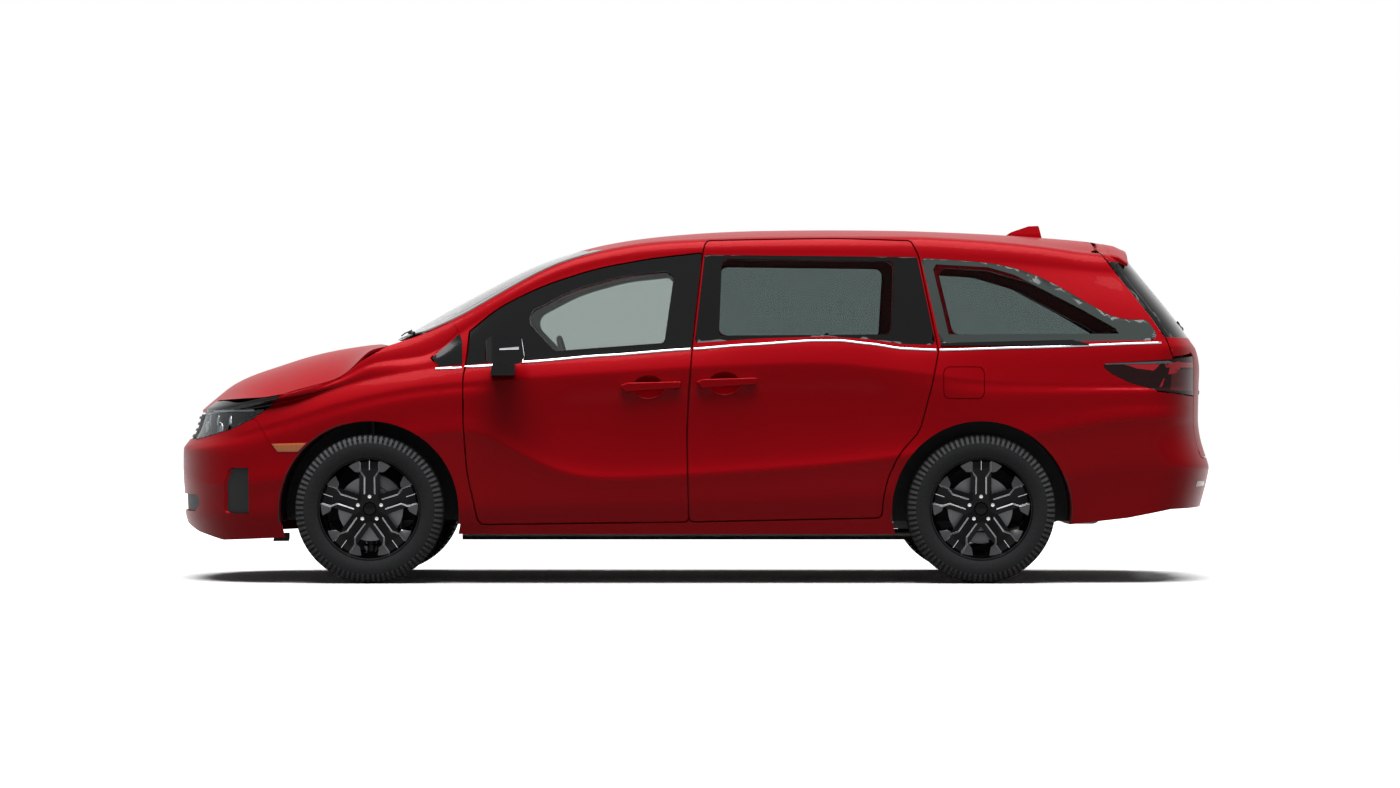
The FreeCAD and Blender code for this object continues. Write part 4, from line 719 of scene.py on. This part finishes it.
def outward(face):
    """How squarely a face looks away from a lamp's heart, on either side of the car."""
    side = 1.0 if face.center.y > 0 else -1.0
    away = face.center - Vector((LAMP_HEART[0], side * LAMP_HEART[1], LAMP_HEART[2]))
    return face.normal.dot(away.normalized())


def lamp_part(name, keep, wall):
    """The faces of the lamps' shell that pass a test, given a wall of their own."""
    part = merged_copy("headlamps", name)
    pick_faces(part, lambda f: not keep(f))
    bpy.ops.mesh.delete(type="FACE")
    bpy.ops.object.mode_set(mode="OBJECT")
    thicken(part, wall, 0.0, name)
    return part


lamp_cover = lamp_part("headlamp_covers", lambda f: outward(f) > COVER_TURN, COVER_WALL)
cut_along([(BROW_FOOT, BROW_WAY)])
lamp_cover.data.materials.append(cover_plastic)
lamp_cover.data.materials.append(piano_black)
for face in lamp_cover.data.polygons:
    above = (face.center - Vector(BROW_FOOT)).dot(Vector(BROW_WAY)) > 0
    face.material_index = 1 if above else 0
housing = lamp_part("headlamp_housings", lambda f: outward(f) <= COVER_TURN, HOUSING_WALL)
housing.data.materials.append(housing_black)
for piece in (lamp_cover, housing):
    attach(piece, "car_body")
    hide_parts("headlamps")


def set_facing(piece, name, place, facing, scale=(1.0, 1.0, 1.0)):
    """Names a piece made about the origin, and turns its top to face a way at a place."""
    piece.name = name
    piece.scale = scale
    piece.rotation_mode = "QUATERNION"
    piece.rotation_quaternion = Vector((0, 0, 1)).rotation_difference(Vector(facing))
    piece.location = place
    settle_at_origin(piece)


def ring(name, place, facing, big, small):
    """A round wire ring that faces a given way, made round a point."""
    bpy.ops.mesh.primitive_torus_add(major_radius=big, minor_radius=small, major_segments=48,
                                     minor_segments=10)
    piece = bpy.context.object
    set_facing(piece, name, place, facing)
    bpy.ops.object.shade_smooth()
    return piece


def dome(name, place, facing, radius, bulge):
    """A shallow round lens with a closed back."""
    bpy.ops.mesh.primitive_uv_sphere_add(segments=40, ring_count=20, radius=1.0)
    piece = bpy.context.object
    cut_along([((0, 0, 0), (0, 0, 1))], clear_inner=True, use_fill=True)
    set_facing(piece, name, place, facing, (radius, radius, bulge))
    bpy.ops.object.shade_smooth_by_angle(angle=math.radians(40))
    return piece


lamp_skin = skin_of("headlamps")
lens_glass = finish("moulded_lens_glass", "#c9d4da", Roughness=0.03, Metallic=0.1,
                    Specular_IOR_Level=1.0)
# x, z and radius of each projector, and y and z of each lamp unit in the nose.
PROJECTORS = [(-2.366, 0.752, 0.040), (-2.448, 0.770, 0.030)]
UNITS = [(-0.740, 0.795), (-0.640, 0.800), (-0.545, 0.800)]
PROJECTOR_SUNK, UNIT_SUNK = 0.013, 0.016
UNIT_RING, UNIT_LENS = 0.033, 0.028
LENS_BULGE = 0.010
for n, (x, z, r) in enumerate(PROJECTORS):
    hit, normal = lamp_skin.ray_cast(Vector((x, -3.0, z)), Vector((0, 1, 0)))[:2]
    facing = Vector((normal.x - 0.5, normal.y, 0.0)).normalized()
    seat = hit - normal * PROJECTOR_SUNK
    bright = ring("projector_ring", seat, facing, r, 0.0032)
    cut_along(LAMP_FLOOR, clear_outer=True, use_fill=True)
    both_sides(bright, f"projector_ring_{n + 1}", "car_body", chrome)
    lens = dome("projector_lens", seat - facing * 0.004, facing, r * 0.72, LENS_BULGE)
    cut_along(LAMP_FLOOR, clear_outer=True, use_fill=True)
    both_sides(lens, f"projector_lens_{n + 1}", "car_body", lens_glass)
for n, (y, z) in enumerate(UNITS):
    hit, normal = lamp_skin.ray_cast(Vector((-4.0, y, z)), Vector((1, 0, 0)))[:2]
    facing = Vector((-1.0, normal.y * 0.4, 0.05)).normalized()
    seat = hit - normal * UNIT_SUNK
    bright = ring("unit_ring", seat, facing, UNIT_RING, 0.003)
    both_sides(bright, f"lamp_unit_ring_{n + 1}", "car_body", chrome)
    lens = dome("unit_lens", seat - facing * 0.002, facing, UNIT_LENS, LENS_BULGE)
    both_sides(lens, f"lamp_unit_lens_{n + 1}", "car_body", lens_glass)
guide = flat_piece([(-2.400, 0.846), (-2.400, 0.839), (-2.180, 0.846), (-2.180, 0.852)], cell=0.012)
lay_on(guide, lamp_skin, -0.007)
thicken(guide, 0.005, 0.0, "guide")
both_sides(guide, "lamp_light_guide", "car_body", opal)

# Tail lamps: smoked outer cover with red lenses that show through it. The red is acrylic
# with fine prism ribs, and a satin grey bar runs along the lamp's top.
smoked_red = finish("smoked_acrylic_cover", "#1d0a0c", Roughness=0.06, Specular_IOR_Level=0.1)
# Smoke in patches of 56 mm.
uneven_colour(smoked_red, "TexNoise", {"Scale": 18.0, "Detail": 2.0}, "#1a0608", "#330e12")
dress(smoked_red, "tail_lamps")
red_lens = finish("prismatic_red_acrylic", "#c00d20", Roughness=0.12, Specular_IOR_Level=0.2)
# Prism ribs 5 mm apart.
uneven_colour(red_lens, "TexWave", {"Scale": 60.0, "Distortion": 0.0, "bands_direction": "Z"},
              "#9c0618", "#d81a30")
deep_red = finish("deep_red_acrylic", "#6e0612", Roughness=0.10, Specular_IOR_Level=0.15)
# The same ribs, 5 mm apart.
uneven_colour(deep_red, "TexWave", {"Scale": 60.0, "Distortion": 0.0, "bands_direction": "Z"},
              "#48030b", "#700614")
grey_trim = finish("satin_grey_lamp_trim", "#4d5153", Metallic=0.4, Roughness=0.3)
# Satin patches of 12 mm.
uneven_shine(grey_trim, "TexNoise", {"Scale": 80.0, "Detail": 2.0}, 0.2, 0.4)
cover("tail_lamp_bar", [(2.012, 1.0735), (2.008, 1.078), (2.330, 1.092), (2.345, 1.080)], ["tail_lamps"],
      "car_body", grey_trim, proud=0.0015, thick=0.003)
TAIL_LENSES = [
    ("inner_red", [(2.100, 1.074), (2.281, 1.077), (2.247, 1.044), (2.168, 1.054)], red_lens, 0.0008, "side"),
    ("corner_red", [(2.339, 1.083), (2.384, 1.089), (2.384, 1.037), (2.321, 1.025)], red_lens, 0.0008,
     "side"),
    ("foot_red", [(2.341, 1.026), (2.390, 1.032), (2.392, 0.942), (2.331, 0.950)], deep_red, 0.0008, "side"),
    ("sliver", [(2.296, 1.003), (2.302, 1.004), (2.288, 0.966), (2.276, 0.964)], red_lens, 0.0019, "side"),
    ("back_red", [(-0.860, 1.060), (-0.860, 1.085), (-0.660, 1.085), (-0.660, 1.060)], red_lens, 0.0008,
     "rear"),
    ("back_deep", [(-0.850, 0.945), (-0.850, 1.050), (-0.660, 1.050), (-0.660, 0.945)], deep_red, 0.0008,
     "rear")]
for name, outline, lens, proud, view in TAIL_LENSES:
    cover("tail_lamp_" + name, outline, ["tail_lamps"], "car_body", lens, proud=proud, thick=0.003,
          view=view, cell=0.01)

# Rear spoiler lip and gate flanks: the lip is moulded in ABS and painted with the gate. The
# gate's frame beside the glass is gloss black, and the high brake lamp sits above it.
SPOILER_STEPS = 24
SPOILER_HALF = 0.605
SPOILER_ROOT_X = 2.055
SPOILER_TIP_X = 2.170
SPOILER_BACK_X = 2.110
BAND_FOOT, BAND_TOP = 1.208, 1.585
gate_skin = skin_of("tailgate")
sections = []
for n in range(SPOILER_STEPS + 1):
    y = SPOILER_HALF * (2 * n / SPOILER_STEPS - 1)
    drop = (y / SPOILER_HALF) ** 2
    root = gate_skin.ray_cast(Vector((SPOILER_ROOT_X, y, 2.2)), Vector((0, 0, -1)))[0]
    tip_x = SPOILER_TIP_X - 0.025 * drop
    back_x = SPOILER_BACK_X - 0.012 * drop
    tip_z = root.z - 0.034 - 0.006 * drop
    sections.append([(root.x, y, root.z + 0.0015), (back_x, y, root.z - 0.008), (tip_x, y, tip_z),
                     (tip_x - 0.004, y, tip_z - 0.012), (back_x - 0.005, y, root.z - 0.036),
                     (root.x + 0.010, y, root.z - 0.030)])
corners = len(sections[0])
lip = mesh_from("spoiler_lip", [point for section in sections for point in section], [],
                [[n * corners + k, n * corners + (k + 1) % corners,
                  (n + 1) * corners + (k + 1) % corners, (n + 1) * corners + k]
                 for n in range(SPOILER_STEPS) for k in range(corners)])
bpy.ops.object.mode_set(mode="EDIT")
bpy.ops.mesh.select_all(action="SELECT")
bpy.ops.mesh.fill_holes(sides=0)
bpy.ops.mesh.normals_make_consistent(inside=False)
bpy.ops.object.mode_set(mode="OBJECT")
rounded(lip, 0.0025, 2, 40)
bpy.ops.object.shade_smooth_by_angle(angle=math.radians(35))
lip.data.materials.append(red_paint)
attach(lip, "tailgate_body")
gate_shell = merged_copy("tailgate", "tailgate_shell")
cut_along([((2.2, 0.0, height), (0.0, 0.0, 1.0)) for height in (BAND_FOOT, BAND_TOP)])
gate_shell.data.materials.append(red_paint)
gate_shell.data.materials.append(piano_black)
for face in gate_shell.data.polygons:
    face.material_index = 1 if BAND_FOOT < face.center.z < BAND_TOP else 0
bpy.ops.object.shade_smooth_by_angle(angle=math.radians(30))
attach(gate_shell, "tailgate_body")
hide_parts("tailgate")
cover("high_brake_lamp", [(-0.150, 1.590), (-0.150, 1.606), (0.0, 1.608), (0.0, 1.592)], ["tailgate"],
      "tailgate_body", red_lens, proud=0.0015, thick=0.003, view="rear", cell=0.01)

# Side marker lamps: amber acrylic lenses, moulded with fine upright ribs and let into the
# bumper's corner ahead of the arch.
amber = finish("amber_acrylic", "#e8823c", Roughness=0.15, Specular_IOR_Level=0.4)
# Ribs 6 mm apart.
uneven_colour(amber, "TexWave", {"Scale": 50.0, "Distortion": 0.0, "bands_direction": "X"},
              "#cf6226", "#e88a4a")
cover("side_marker", [(-2.085, 0.684), (-1.912, 0.689), (-1.954, 0.645), (-2.055, 0.645)],
      ["front_fenders", "front_bumper"], "car_body", amber, proud=0.002, thick=0.004, edge=0.001)

# Mirrors: silvered glass in the back of each housing, and a satin strip with the repeater
# lamp along its outer side.
mirror_silver = finish("silvered_mirror_glass", "#dfe3e6", Metallic=1.0, Roughness=0.03)
# Faint waves in the glass, about 50 mm long.
uneven_shine(mirror_silver, "TexNoise", {"Scale": 20.0, "Detail": 2.0}, 0.02, 0.05)
cover("mirror_glass", [(-1.145, 1.100), (-1.150, 1.185), (-1.130, 1.197), (-1.025, 1.199), (-1.008, 1.186),
                       (-1.008, 1.104), (-1.030, 1.094), (-1.125, 1.094)],
      ["mirror_left"], "door_left", mirror_silver, proud=0.0012, thick=0.002,
      view="rear")
cover("mirror_strip", [(-0.976, 1.143), (-0.970, 1.150), (-0.850, 1.160), (-0.848, 1.145)], ["mirror_left"],
      "door_left", chrome, proud=0.0001, thick=0.003, edge=0.0008)

# Wipers: pressed steel arms, black painted, with soft rubber blades that lie along the
# foot of the windscreen. The rear one turns on a capped spindle in the glass.
arm_black = finish("black_wiper_coat", "#121314", Roughness=0.45)
# Grain of the coat, 4.5 mm, coarser than real so that it shows.
raised_grain(arm_black, "TexNoise", {"Scale": 220.0, "Detail": 2.0}, 0.2, 0.0004)
screen_skin = skin_of("windscreen")
pane_skin = skin_of("tailgate_glass")


def strip_between(a, b, wide, tip):
    """Corners of a tapered strip between two points of a view."""
    p, q = Vector(a), Vector(b)
    along = (q - p).normalized()
    n = Vector((-along.y, along.x))
    return [tuple(p + n * wide / 2), tuple(p - n * wide / 2), tuple(q - n * tip / 2), tuple(q + n * tip / 2)]


def wiper(name, blade_ends, arm_ends, skin, view, arm_proud, body):
    """A blade laid near the glass and its arm laid over it."""
    for part, ends, wide, tip, proud, thick, edge, material in (
            ("blade", blade_ends, 0.012, 0.010, 0.010, 0.008, 0.0012, rubber),
            ("arm", arm_ends, 0.026, 0.014, arm_proud, 0.006, 0.0015, arm_black)):
        piece = flat_piece(strip_between(*ends, wide, tip), cell=0.015, view=view)
        lay_on(piece, skin, proud, VIEWS[view][2])
        thicken(piece, thick, edge, name.format(part))
        piece.data.materials.append(material)
        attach(piece, body)


WIPERS = {"driver": ((-1.405, -0.640), (-1.462, -0.060), (-1.475, -0.380)),
          "passenger": ((-1.462, 0.040), (-1.405, 0.560), (-1.470, 0.170))}
for side, (start, end, pivot) in WIPERS.items():
    middle = ((start[0] + end[0]) / 2, (start[1] + end[1]) / 2)
    wiper("wiper_{}_" + side, (start, end), (pivot, middle), screen_skin, "plan", 0.018, "car_body")
wiper("rear_wiper_{}", ((0.030, 1.262), (-0.400, 1.290)), ((0.020, 1.246), (-0.190, 1.276)), pane_skin,
      "rear", 0.016, "tailgate_body")
hit, normal = pane_skin.ray_cast(Vector((4.0, 0.0, 1.250)), Vector((-1, 0, 0)))[:2]
knob = dome("rear_wiper_cap", hit, normal, 0.022, 0.030)
knob.data.materials.append(arm_black)
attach(knob, "tailgate_body")

# Brakes: cast iron discs that turn with the wheels, each in the grip of a painted caliper,
# which is bolted to the knuckle in front and to the axle behind.
disc_iron = finish("turned_cast_iron", "#5c5e60", Metallic=0.6, Roughness=0.4)
# Pad marks and rust film, in patches of 8 mm.
uneven_shine(disc_iron, "TexNoise", {"Scale": 120.0, "Detail": 3.0}, 0.25, 0.45)
caliper_grey = finish("zinc_coated_caliper", "#4a4b4d", Metallic=0.4, Roughness=0.45)
# Cast grain of 6 mm, coarser than real so that it shows.
raised_grain(caliper_grey, "TexNoise", {"Scale": 160.0, "Detail": 3.0}, 0.3, 0.001)
DISC_PROFILE = [(0.040, 0.068), (0.040, 0.088), (0.012, 0.090), (0.012, 0.160), (0.024, 0.160),
                (0.024, 0.092), (0.030, 0.088), (0.030, 0.068)]
CALIPER_PROFILE = [(-0.030, 0.118), (-0.034, 0.150), (-0.026, 0.172), (0.040, 0.172), (0.048, 0.150),
                   (0.048, 0.118), (0.028, 0.112), (0.028, 0.164), (0.008, 0.164), (0.008, 0.112)]
CALIPER_SWEEP = 66
CALIPER_START = {"front": math.radians(62), "rear": math.radians(-128)}
for wheel, (x, y) in AXLES.items():
    axle, hand = wheel.split("_")
    disc = turned("brake_disc", DISC_PROFILE, 360, 72)
    caliper = turned("brake_caliper", CALIPER_PROFILE, CALIPER_SWEEP, 12, CALIPER_START[axle])
    holder = "steer_" + hand if axle == "front" else "car_body"
    for raw, name, rider, metal in ((disc, "brake_disc_" + wheel, "wheel_" + wheel, disc_iron),
                                    (caliper, "brake_caliper_" + wheel, holder, caliper_grey)):
        piece = copied(raw, name, (x, y, HUB_HEIGHT), flip=y > 0)
        piece.data.materials.append(metal)
        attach(piece, rider)
        bpy.data.objects.remove(raw)

# Number plate blank: a plain pressed aluminium plate, white enamelled, in the tailgate's
# recess, with its two lamps in a black garnish above it.
enamel = finish("white_enamelled_plate", "#d9dbdc", Roughness=0.3)
# Waves in the enamel, about 14 mm long.
uneven_shine(enamel, "TexNoise", {"Scale": 70.0, "Detail": 2.0}, 0.25, 0.4)
PLATE_FOOT, PLATE_TOP, PLATE_HALF = 0.748, 0.896, 0.152
plate = flat_piece([(-PLATE_HALF, PLATE_FOOT), (-PLATE_HALF, PLATE_TOP), (PLATE_HALF, PLATE_TOP),
                    (PLATE_HALF, PLATE_FOOT)], view="rear")
lay_on(plate, gate_skin, 0.003, VIEWS["rear"][2])
# The recess is curved, so the plate is set flat on its two edges.
spots = [v.co.copy() for v in plate.data.vertices]
lean = (max(spots, key=lambda c: c.z).x - min(spots, key=lambda c: c.z).x) / (PLATE_TOP - PLATE_FOOT)
back = max(c.x - lean * (c.z - PLATE_FOOT) for c in spots)
for v in plate.data.vertices:
    v.co.x = back + lean * (v.co.z - PLATE_FOOT)
pick_faces(plate, lambda f: True)
bpy.ops.mesh.inset(thickness=0.004, depth=-0.0012, use_individual=False)
bpy.ops.object.mode_set(mode="OBJECT")
thicken(plate, 0.0022, 0.0, "plate_blank")
plate.data.materials.append(enamel)
garnish = flat_piece([(-0.262, 0.926), (-0.262, 0.946), (0.262, 0.946), (0.262, 0.926)], view="rear")
lay_on(garnish, gate_skin, 0.006, VIEWS["rear"][2])
thicken(garnish, 0.008, 0.002, "plate_garnish")
garnish.data.materials.append(piano_black)
for piece in (plate, garnish):
    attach(piece, "tailgate_body")

# Rear reflectors: red acrylic slots let into the rear bumper, low down at its corners,
# ribbed on the back like the tail lamps.
cover("rear_reflector", [(-0.700, 0.470), (-0.700, 0.498), (-0.540, 0.494), (-0.540, 0.474)], ["rear_bumper"],
      "car_body", red_lens, proud=0.0015, thick=0.003, view="rear")

# Splash strips: black rubber flaps, cut from sheet and riveted under the bumper, ahead of
# the front tyres. They lean in towards the nose.
STRIP_Y = -0.800
STRIP_LEAN = 0.35
flap_strip = flat_piece([(-2.083, 0.204), (-2.075, 0.246), (-2.004, 0.246), (-2.007, 0.204)], cell=0.012)
for v in flap_strip.data.vertices:
    v.co.y = STRIP_Y + (v.co.x + 2.0) * STRIP_LEAN
thicken(flap_strip, 0.006, 0.001, "splash_strip")
both_sides(flap_strip, "splash_strip", "car_body", rubber)

# Seats: moulded foam pads in perforated trim, each blown up a little against its cover,
# with sewn channels down the middle panel and a welt at the bolsters. Steel plinths and
# headrest stalks carry them.
seat_trim = finish("perforated_seat_trim", "#3a3a3d", Roughness=0.72, Sheen_Weight=0.25,
                   Sheen_Roughness=0.4)
# Punched holes 6 mm apart, dark and a little sunk.
holes = laid_pattern(seat_trim, "TexVoronoi", {"Scale": 170.0})
shade = add_node(seat_trim, "ValToRGB", {}, {"Fac": holes})
shade.color_ramp.elements[0].color = linear("#232325")
shade.color_ramp.elements[1].color = linear("#404044")
shade.color_ramp.elements[1].position = 0.35
plug(seat_trim, shade.outputs["Color"], "Base Color")
relief = add_node(seat_trim, "Bump", {"Strength": 0.5, "Distance": 0.0012}, {"Height": holes})
plug(seat_trim, relief.outputs["Normal"], "Normal")
PAD_VOXEL = 0.011
PAD_CAP = 0.016
PAD_FRAMES = 20
PAD_ALLOWANCE = 0.020
BOLSTER_START, BOLSTER_RUN = 0.58, 0.2
SEAM_HALF = 0.007
SEAM_DEEP, CROSS_SEAM_DEEP = 0.007, 0.008


def swell(pad):
    """Blows a pad up under pressure, no further than the cap, and leaves the shape behind."""
    select_only(pad)
    pad.data.remesh_voxel_size = PAD_VOXEL
    bpy.ops.object.voxel_remesh()
    before = [v.co.copy() for v in pad.data.vertices]
    cloth = pad.modifiers.new("cover", "CLOTH")
    cloth.settings.use_pressure = True
    cloth.settings.uniform_pressure_force = 4.0
    cloth.settings.quality = 4
    cloth.settings.mass = 0.4
    cloth.settings.effector_weights.gravity = 0.0
    cloth.point_cache.frame_start = 1
    cloth.point_cache.frame_end = PAD_FRAMES
    for step in range(1, PAD_FRAMES + 1):
        bpy.context.scene.frame_set(step)
    shape = pad.evaluated_get(bpy.context.evaluated_depsgraph_get()).data
    after = [v.co.copy() for v in shape.vertices]
    pad.modifiers.clear()
    bpy.context.scene.frame_set(1)
    for v, a, b in zip(pad.data.vertices, before, after):
        move = b - a
        v.co = a + move * min(1.0, PAD_CAP / max(move.length, 0.0001))
    pad.data.update()


def sewn_pad(name, size, channels, across, crown, edge):
    """A padded block about its own middle: bolstered, blown up, and sewn in channels.

    channels are the seam places along x and across those along y; the seat side is +z.
    """
    wide, thick = size[1:]
    bpy.ops.mesh.primitive_cube_add(size=1.0)
    pad = bpy.context.object
    pad.scale = [side - PAD_ALLOWANCE for side in size]
    settle_at_origin(pad)
    rounded(pad, edge, 5)
    swell(pad)
    soft = pad.modifiers.new("soft", "SUBSURF")
    soft.levels = soft.render_levels = 1
    bpy.ops.object.modifier_apply(modifier="soft")
    half = wide / 2
    for v in pad.data.vertices:
        lift = max(0.0, v.co.z) / (thick / 2)
        bolster = min(1.0, max(0.0, (abs(v.co.y) / half - BOLSTER_START) / BOLSTER_RUN))
        v.co.z += lift * crown * (bolster * bolster * (3 - 2 * bolster) - 0.8)
        for seam in channels:
            v.co.z -= SEAM_DEEP * lift * math.exp(-((v.co.x - seam) / SEAM_HALF) ** 2) * (1 - bolster)
        for seam in across:
            v.co.z -= CROSS_SEAM_DEEP * lift * math.exp(-((abs(v.co.y) - seam) / SEAM_HALF) ** 2)
    low = [min(v.co[i] for v in pad.data.vertices) for i in range(3)]
    high = [max(v.co[i] for v in pad.data.vertices) for i in range(3)]
    for v in pad.data.vertices:
        v.co = [(v.co[i] - (low[i] + high[i]) / 2) * min(1.0, size[i] / (high[i] - low[i]))
                for i in range(3)]
    bpy.ops.object.shade_smooth()
    pad.name = name
    pad.data.materials.append(seat_trim)
    return pad


def placed(master, name, spot, lean=0.0):
    """A pad's copy, leaned back about y and set down at a spot."""
    piece = copied(master, name)
    piece.data.transform(Matrix.Translation(spot) @ Matrix.Rotation(lean, 4, "Y"))
    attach(piece, "car_body")
    return piece


cushion = sewn_pad("cushion", (0.470, 0.515, 0.150), [-0.12, 0.0, 0.12], [0.155], 0.020, 0.032)
back = sewn_pad("back", (0.540, 0.515, 0.105), [-0.18, -0.06, 0.06, 0.18], [0.155], 0.022, 0.036)
headrest = sewn_pad("headrest", (0.165, 0.250, 0.088), [], [], 0.0, 0.030)
bench = sewn_pad("bench", (0.470, 1.090, 0.150), [-0.12, 0.0, 0.12], [0.180], 0.014, 0.032)
bench_back = sewn_pad("bench_back", (0.385, 1.090, 0.105), [-0.12, 0.0, 0.12], [0.180], 0.014, 0.036)
SEAT_WIDE, BENCH_WIDE = 0.52, 1.1
CUSHION_X, CUSHION_RISE = -0.250, 0.215
BACK_X, BACK_RISE = 0.055, 0.180
BACK_FOOT, BACK_SET = 0.190, 0.090
PLINTH_FRONT, PLINTH_BACK, PLINTH_INSET = -0.400, -0.060, 0.045
PLINTH_FOOT, PLINTH_TALL = 0.290, 0.150
BENCH_RESTS = [-0.330, 0.330]
REST_X, REST_RISE, REST_LEAN = 0.1225, 0.130, math.radians(-84)
STALK_X, STALK_RISE, STALK_APART, STALK_LEAN = 0.113, 0.028, 0.045, math.radians(8)
# Hip x, middle y, floor height, height of the back, cushion, back and CAD node of each seat.
SEATS = {"front_left": (-0.060, -0.370, 0.288, 0.720, cushion, back, "seats_front"),
         "front_right": (-0.060, 0.370, 0.288, 0.720, cushion, back, "seats_front"),
         "second_left": (0.820, -0.370, 0.288, 0.700, cushion, back, "seats_rear"),
         "second_right": (0.820, 0.370, 0.288, 0.700, cushion, back, "seats_rear"),
         "third_row": (1.790, 0.0, 0.406, 0.560, bench, bench_back, "seats_rear")}
plinth_paint = finish("grey_powder_coated_steel", "#2a2b2d", Metallic=0.3, Roughness=0.5)
# Orange peel of the powder coat, 4 mm.
raised_grain(plinth_paint, "TexNoise", {"Scale": 250.0, "Detail": 3.0}, 0.3, 0.0006)


def hard_block(lo, hi, taper=0.9, edge=0.008):
    """A bevelled block whose top face is drawn in."""
    bpy.ops.mesh.primitive_cube_add(size=1.0)
    block = bpy.context.object
    block.scale = [b - a for a, b in zip(lo, hi)]
    block.location = [(a + b) / 2 for a, b in zip(lo, hi)]
    settle_at_origin(block)
    pick_faces(block, lambda f: f.normal.z > 0.9)
    bpy.ops.mesh.inset(thickness=0.006, depth=0.0)
    bpy.ops.transform.resize(value=(taper, taper, 1.0),
                             center_override=[(a + b) / 2 for a, b in zip(lo, hi)])
    bpy.ops.object.mode_set(mode="OBJECT")
    rounded(block, edge, 3)
    return block


for name, (x, y, floor_top, tall, low_pad, back_pad, node) in SEATS.items():
    wide = BENCH_WIDE if name == "third_row" else SEAT_WIDE
    lean = math.atan2(BACK_SET, tall - BACK_FOOT)
    pads = [placed(low_pad, name + "_cushion", (x + CUSHION_X, y, floor_top + CUSHION_RISE))]
    middle = (x + BACK_X, y, floor_top + (BACK_RISE + tall) / 2 + 0.004)
    pads.append(placed(back_pad, name + "_back", middle, lean - math.radians(90)))
    half = wide / 2 - PLINTH_INSET
    frame_parts = [hard_block((x + PLINTH_FRONT, y - half, max(floor_top, PLINTH_FOOT)),
                              (x + PLINTH_BACK, y + half, floor_top + PLINTH_TALL))]
    rests = BENCH_RESTS if name == "third_row" else [y]
    for n, rest_y in enumerate(rests):
        pads.append(placed(headrest, f"{name}_headrest_{n + 1}",
                           (x + REST_X, rest_y, floor_top + tall + REST_RISE), REST_LEAN))
        for side in (-STALK_APART, STALK_APART):
            spot = (x + STALK_X, rest_y + side, floor_top + tall + STALK_RISE)
            bpy.ops.mesh.primitive_cylinder_add(vertices=16, radius=0.006, depth=0.110, location=spot,
                                                rotation=(0, STALK_LEAN, 0))
            frame_parts.append(bpy.context.object)
    base = joined(frame_parts, name + "_seat_frame")
    base.data.materials.append(plinth_paint)
    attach(base, "car_body")
    for piece in pads + [base]:
        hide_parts(node)
for master in (cushion, back, headrest, bench, bench_back):
    bpy.data.objects.remove(master)

# Grilles, cowl and arch liners: grained polypropylene, moulded and black right through,
# clipped to the body. The grain keeps them dull beside the paint.
grained_black = finish("grained_polypropylene", "#0f1011", Roughness=0.6, Specular_IOR_Level=0.2)
# Moulded leather grain, 3 mm.
raised_grain(grained_black, "TexVoronoi", {"Scale": 350.0}, 0.3, 0.0008)
dress(grained_black, "cowl", "arch_liners", "upper_grille", "lower_grille")

# Dashboard: a dark grey skin, slush moulded with a fine leather grain and backed with
# foam. It is dull, so that it doesn't mirror in the windscreen.
soft_skin = finish("slush_moulded_dash_skin", "#232426", Roughness=0.7)
# Leather grain, 4 mm.
raised_grain(soft_skin, "TexVoronoi", {"Scale": 260.0}, 0.35, 0.0008)
dress(soft_skin, "dashboard")

# Floor and axles: pressed and welded steel in black chassis paint over primer, dusty
# underneath.
chassis_paint = finish("black_chassis_paint", "#1b1c1e", Metallic=0.2, Roughness=0.55)
# Road dust in patches of 110 mm.
uneven_colour(chassis_paint, "TexNoise", {"Scale": 9.0, "Detail": 8.0}, "#161719", "#2c2b29")
dress(chassis_paint, "floor_pan", "front_suspension", "rear_suspension", "knuckle_left", "knuckle_right")

# Engine block: sand-cast aluminium, dull and slightly rough, carried on a cross member.
# It only shows when the hood is open.
cast_alloy = finish("sand_cast_aluminium", "#8f9194", Metallic=0.9, Roughness=0.5)
# Sand grain of 3 mm, coarser than real so that it shows.
raised_grain(cast_alloy, "TexNoise", {"Scale": 300.0, "Detail": 4.0}, 0.5, 0.001)
dress(cast_alloy, "engine_block")

# Exhaust: welded stainless tube with one silencer, browned by heat. It hangs under the
# floor from three hangers.
exhaust_tube = finish("heat_browned_stainless", "#6d655c", Metallic=0.9, Roughness=0.45)
# Bloom of the heat, in patches of 170 mm.
uneven_colour(exhaust_tube, "TexNoise", {"Scale": 6.0, "Detail": 5.0}, "#4a443e", "#87817a")
dress(exhaust_tube, "exhaust")
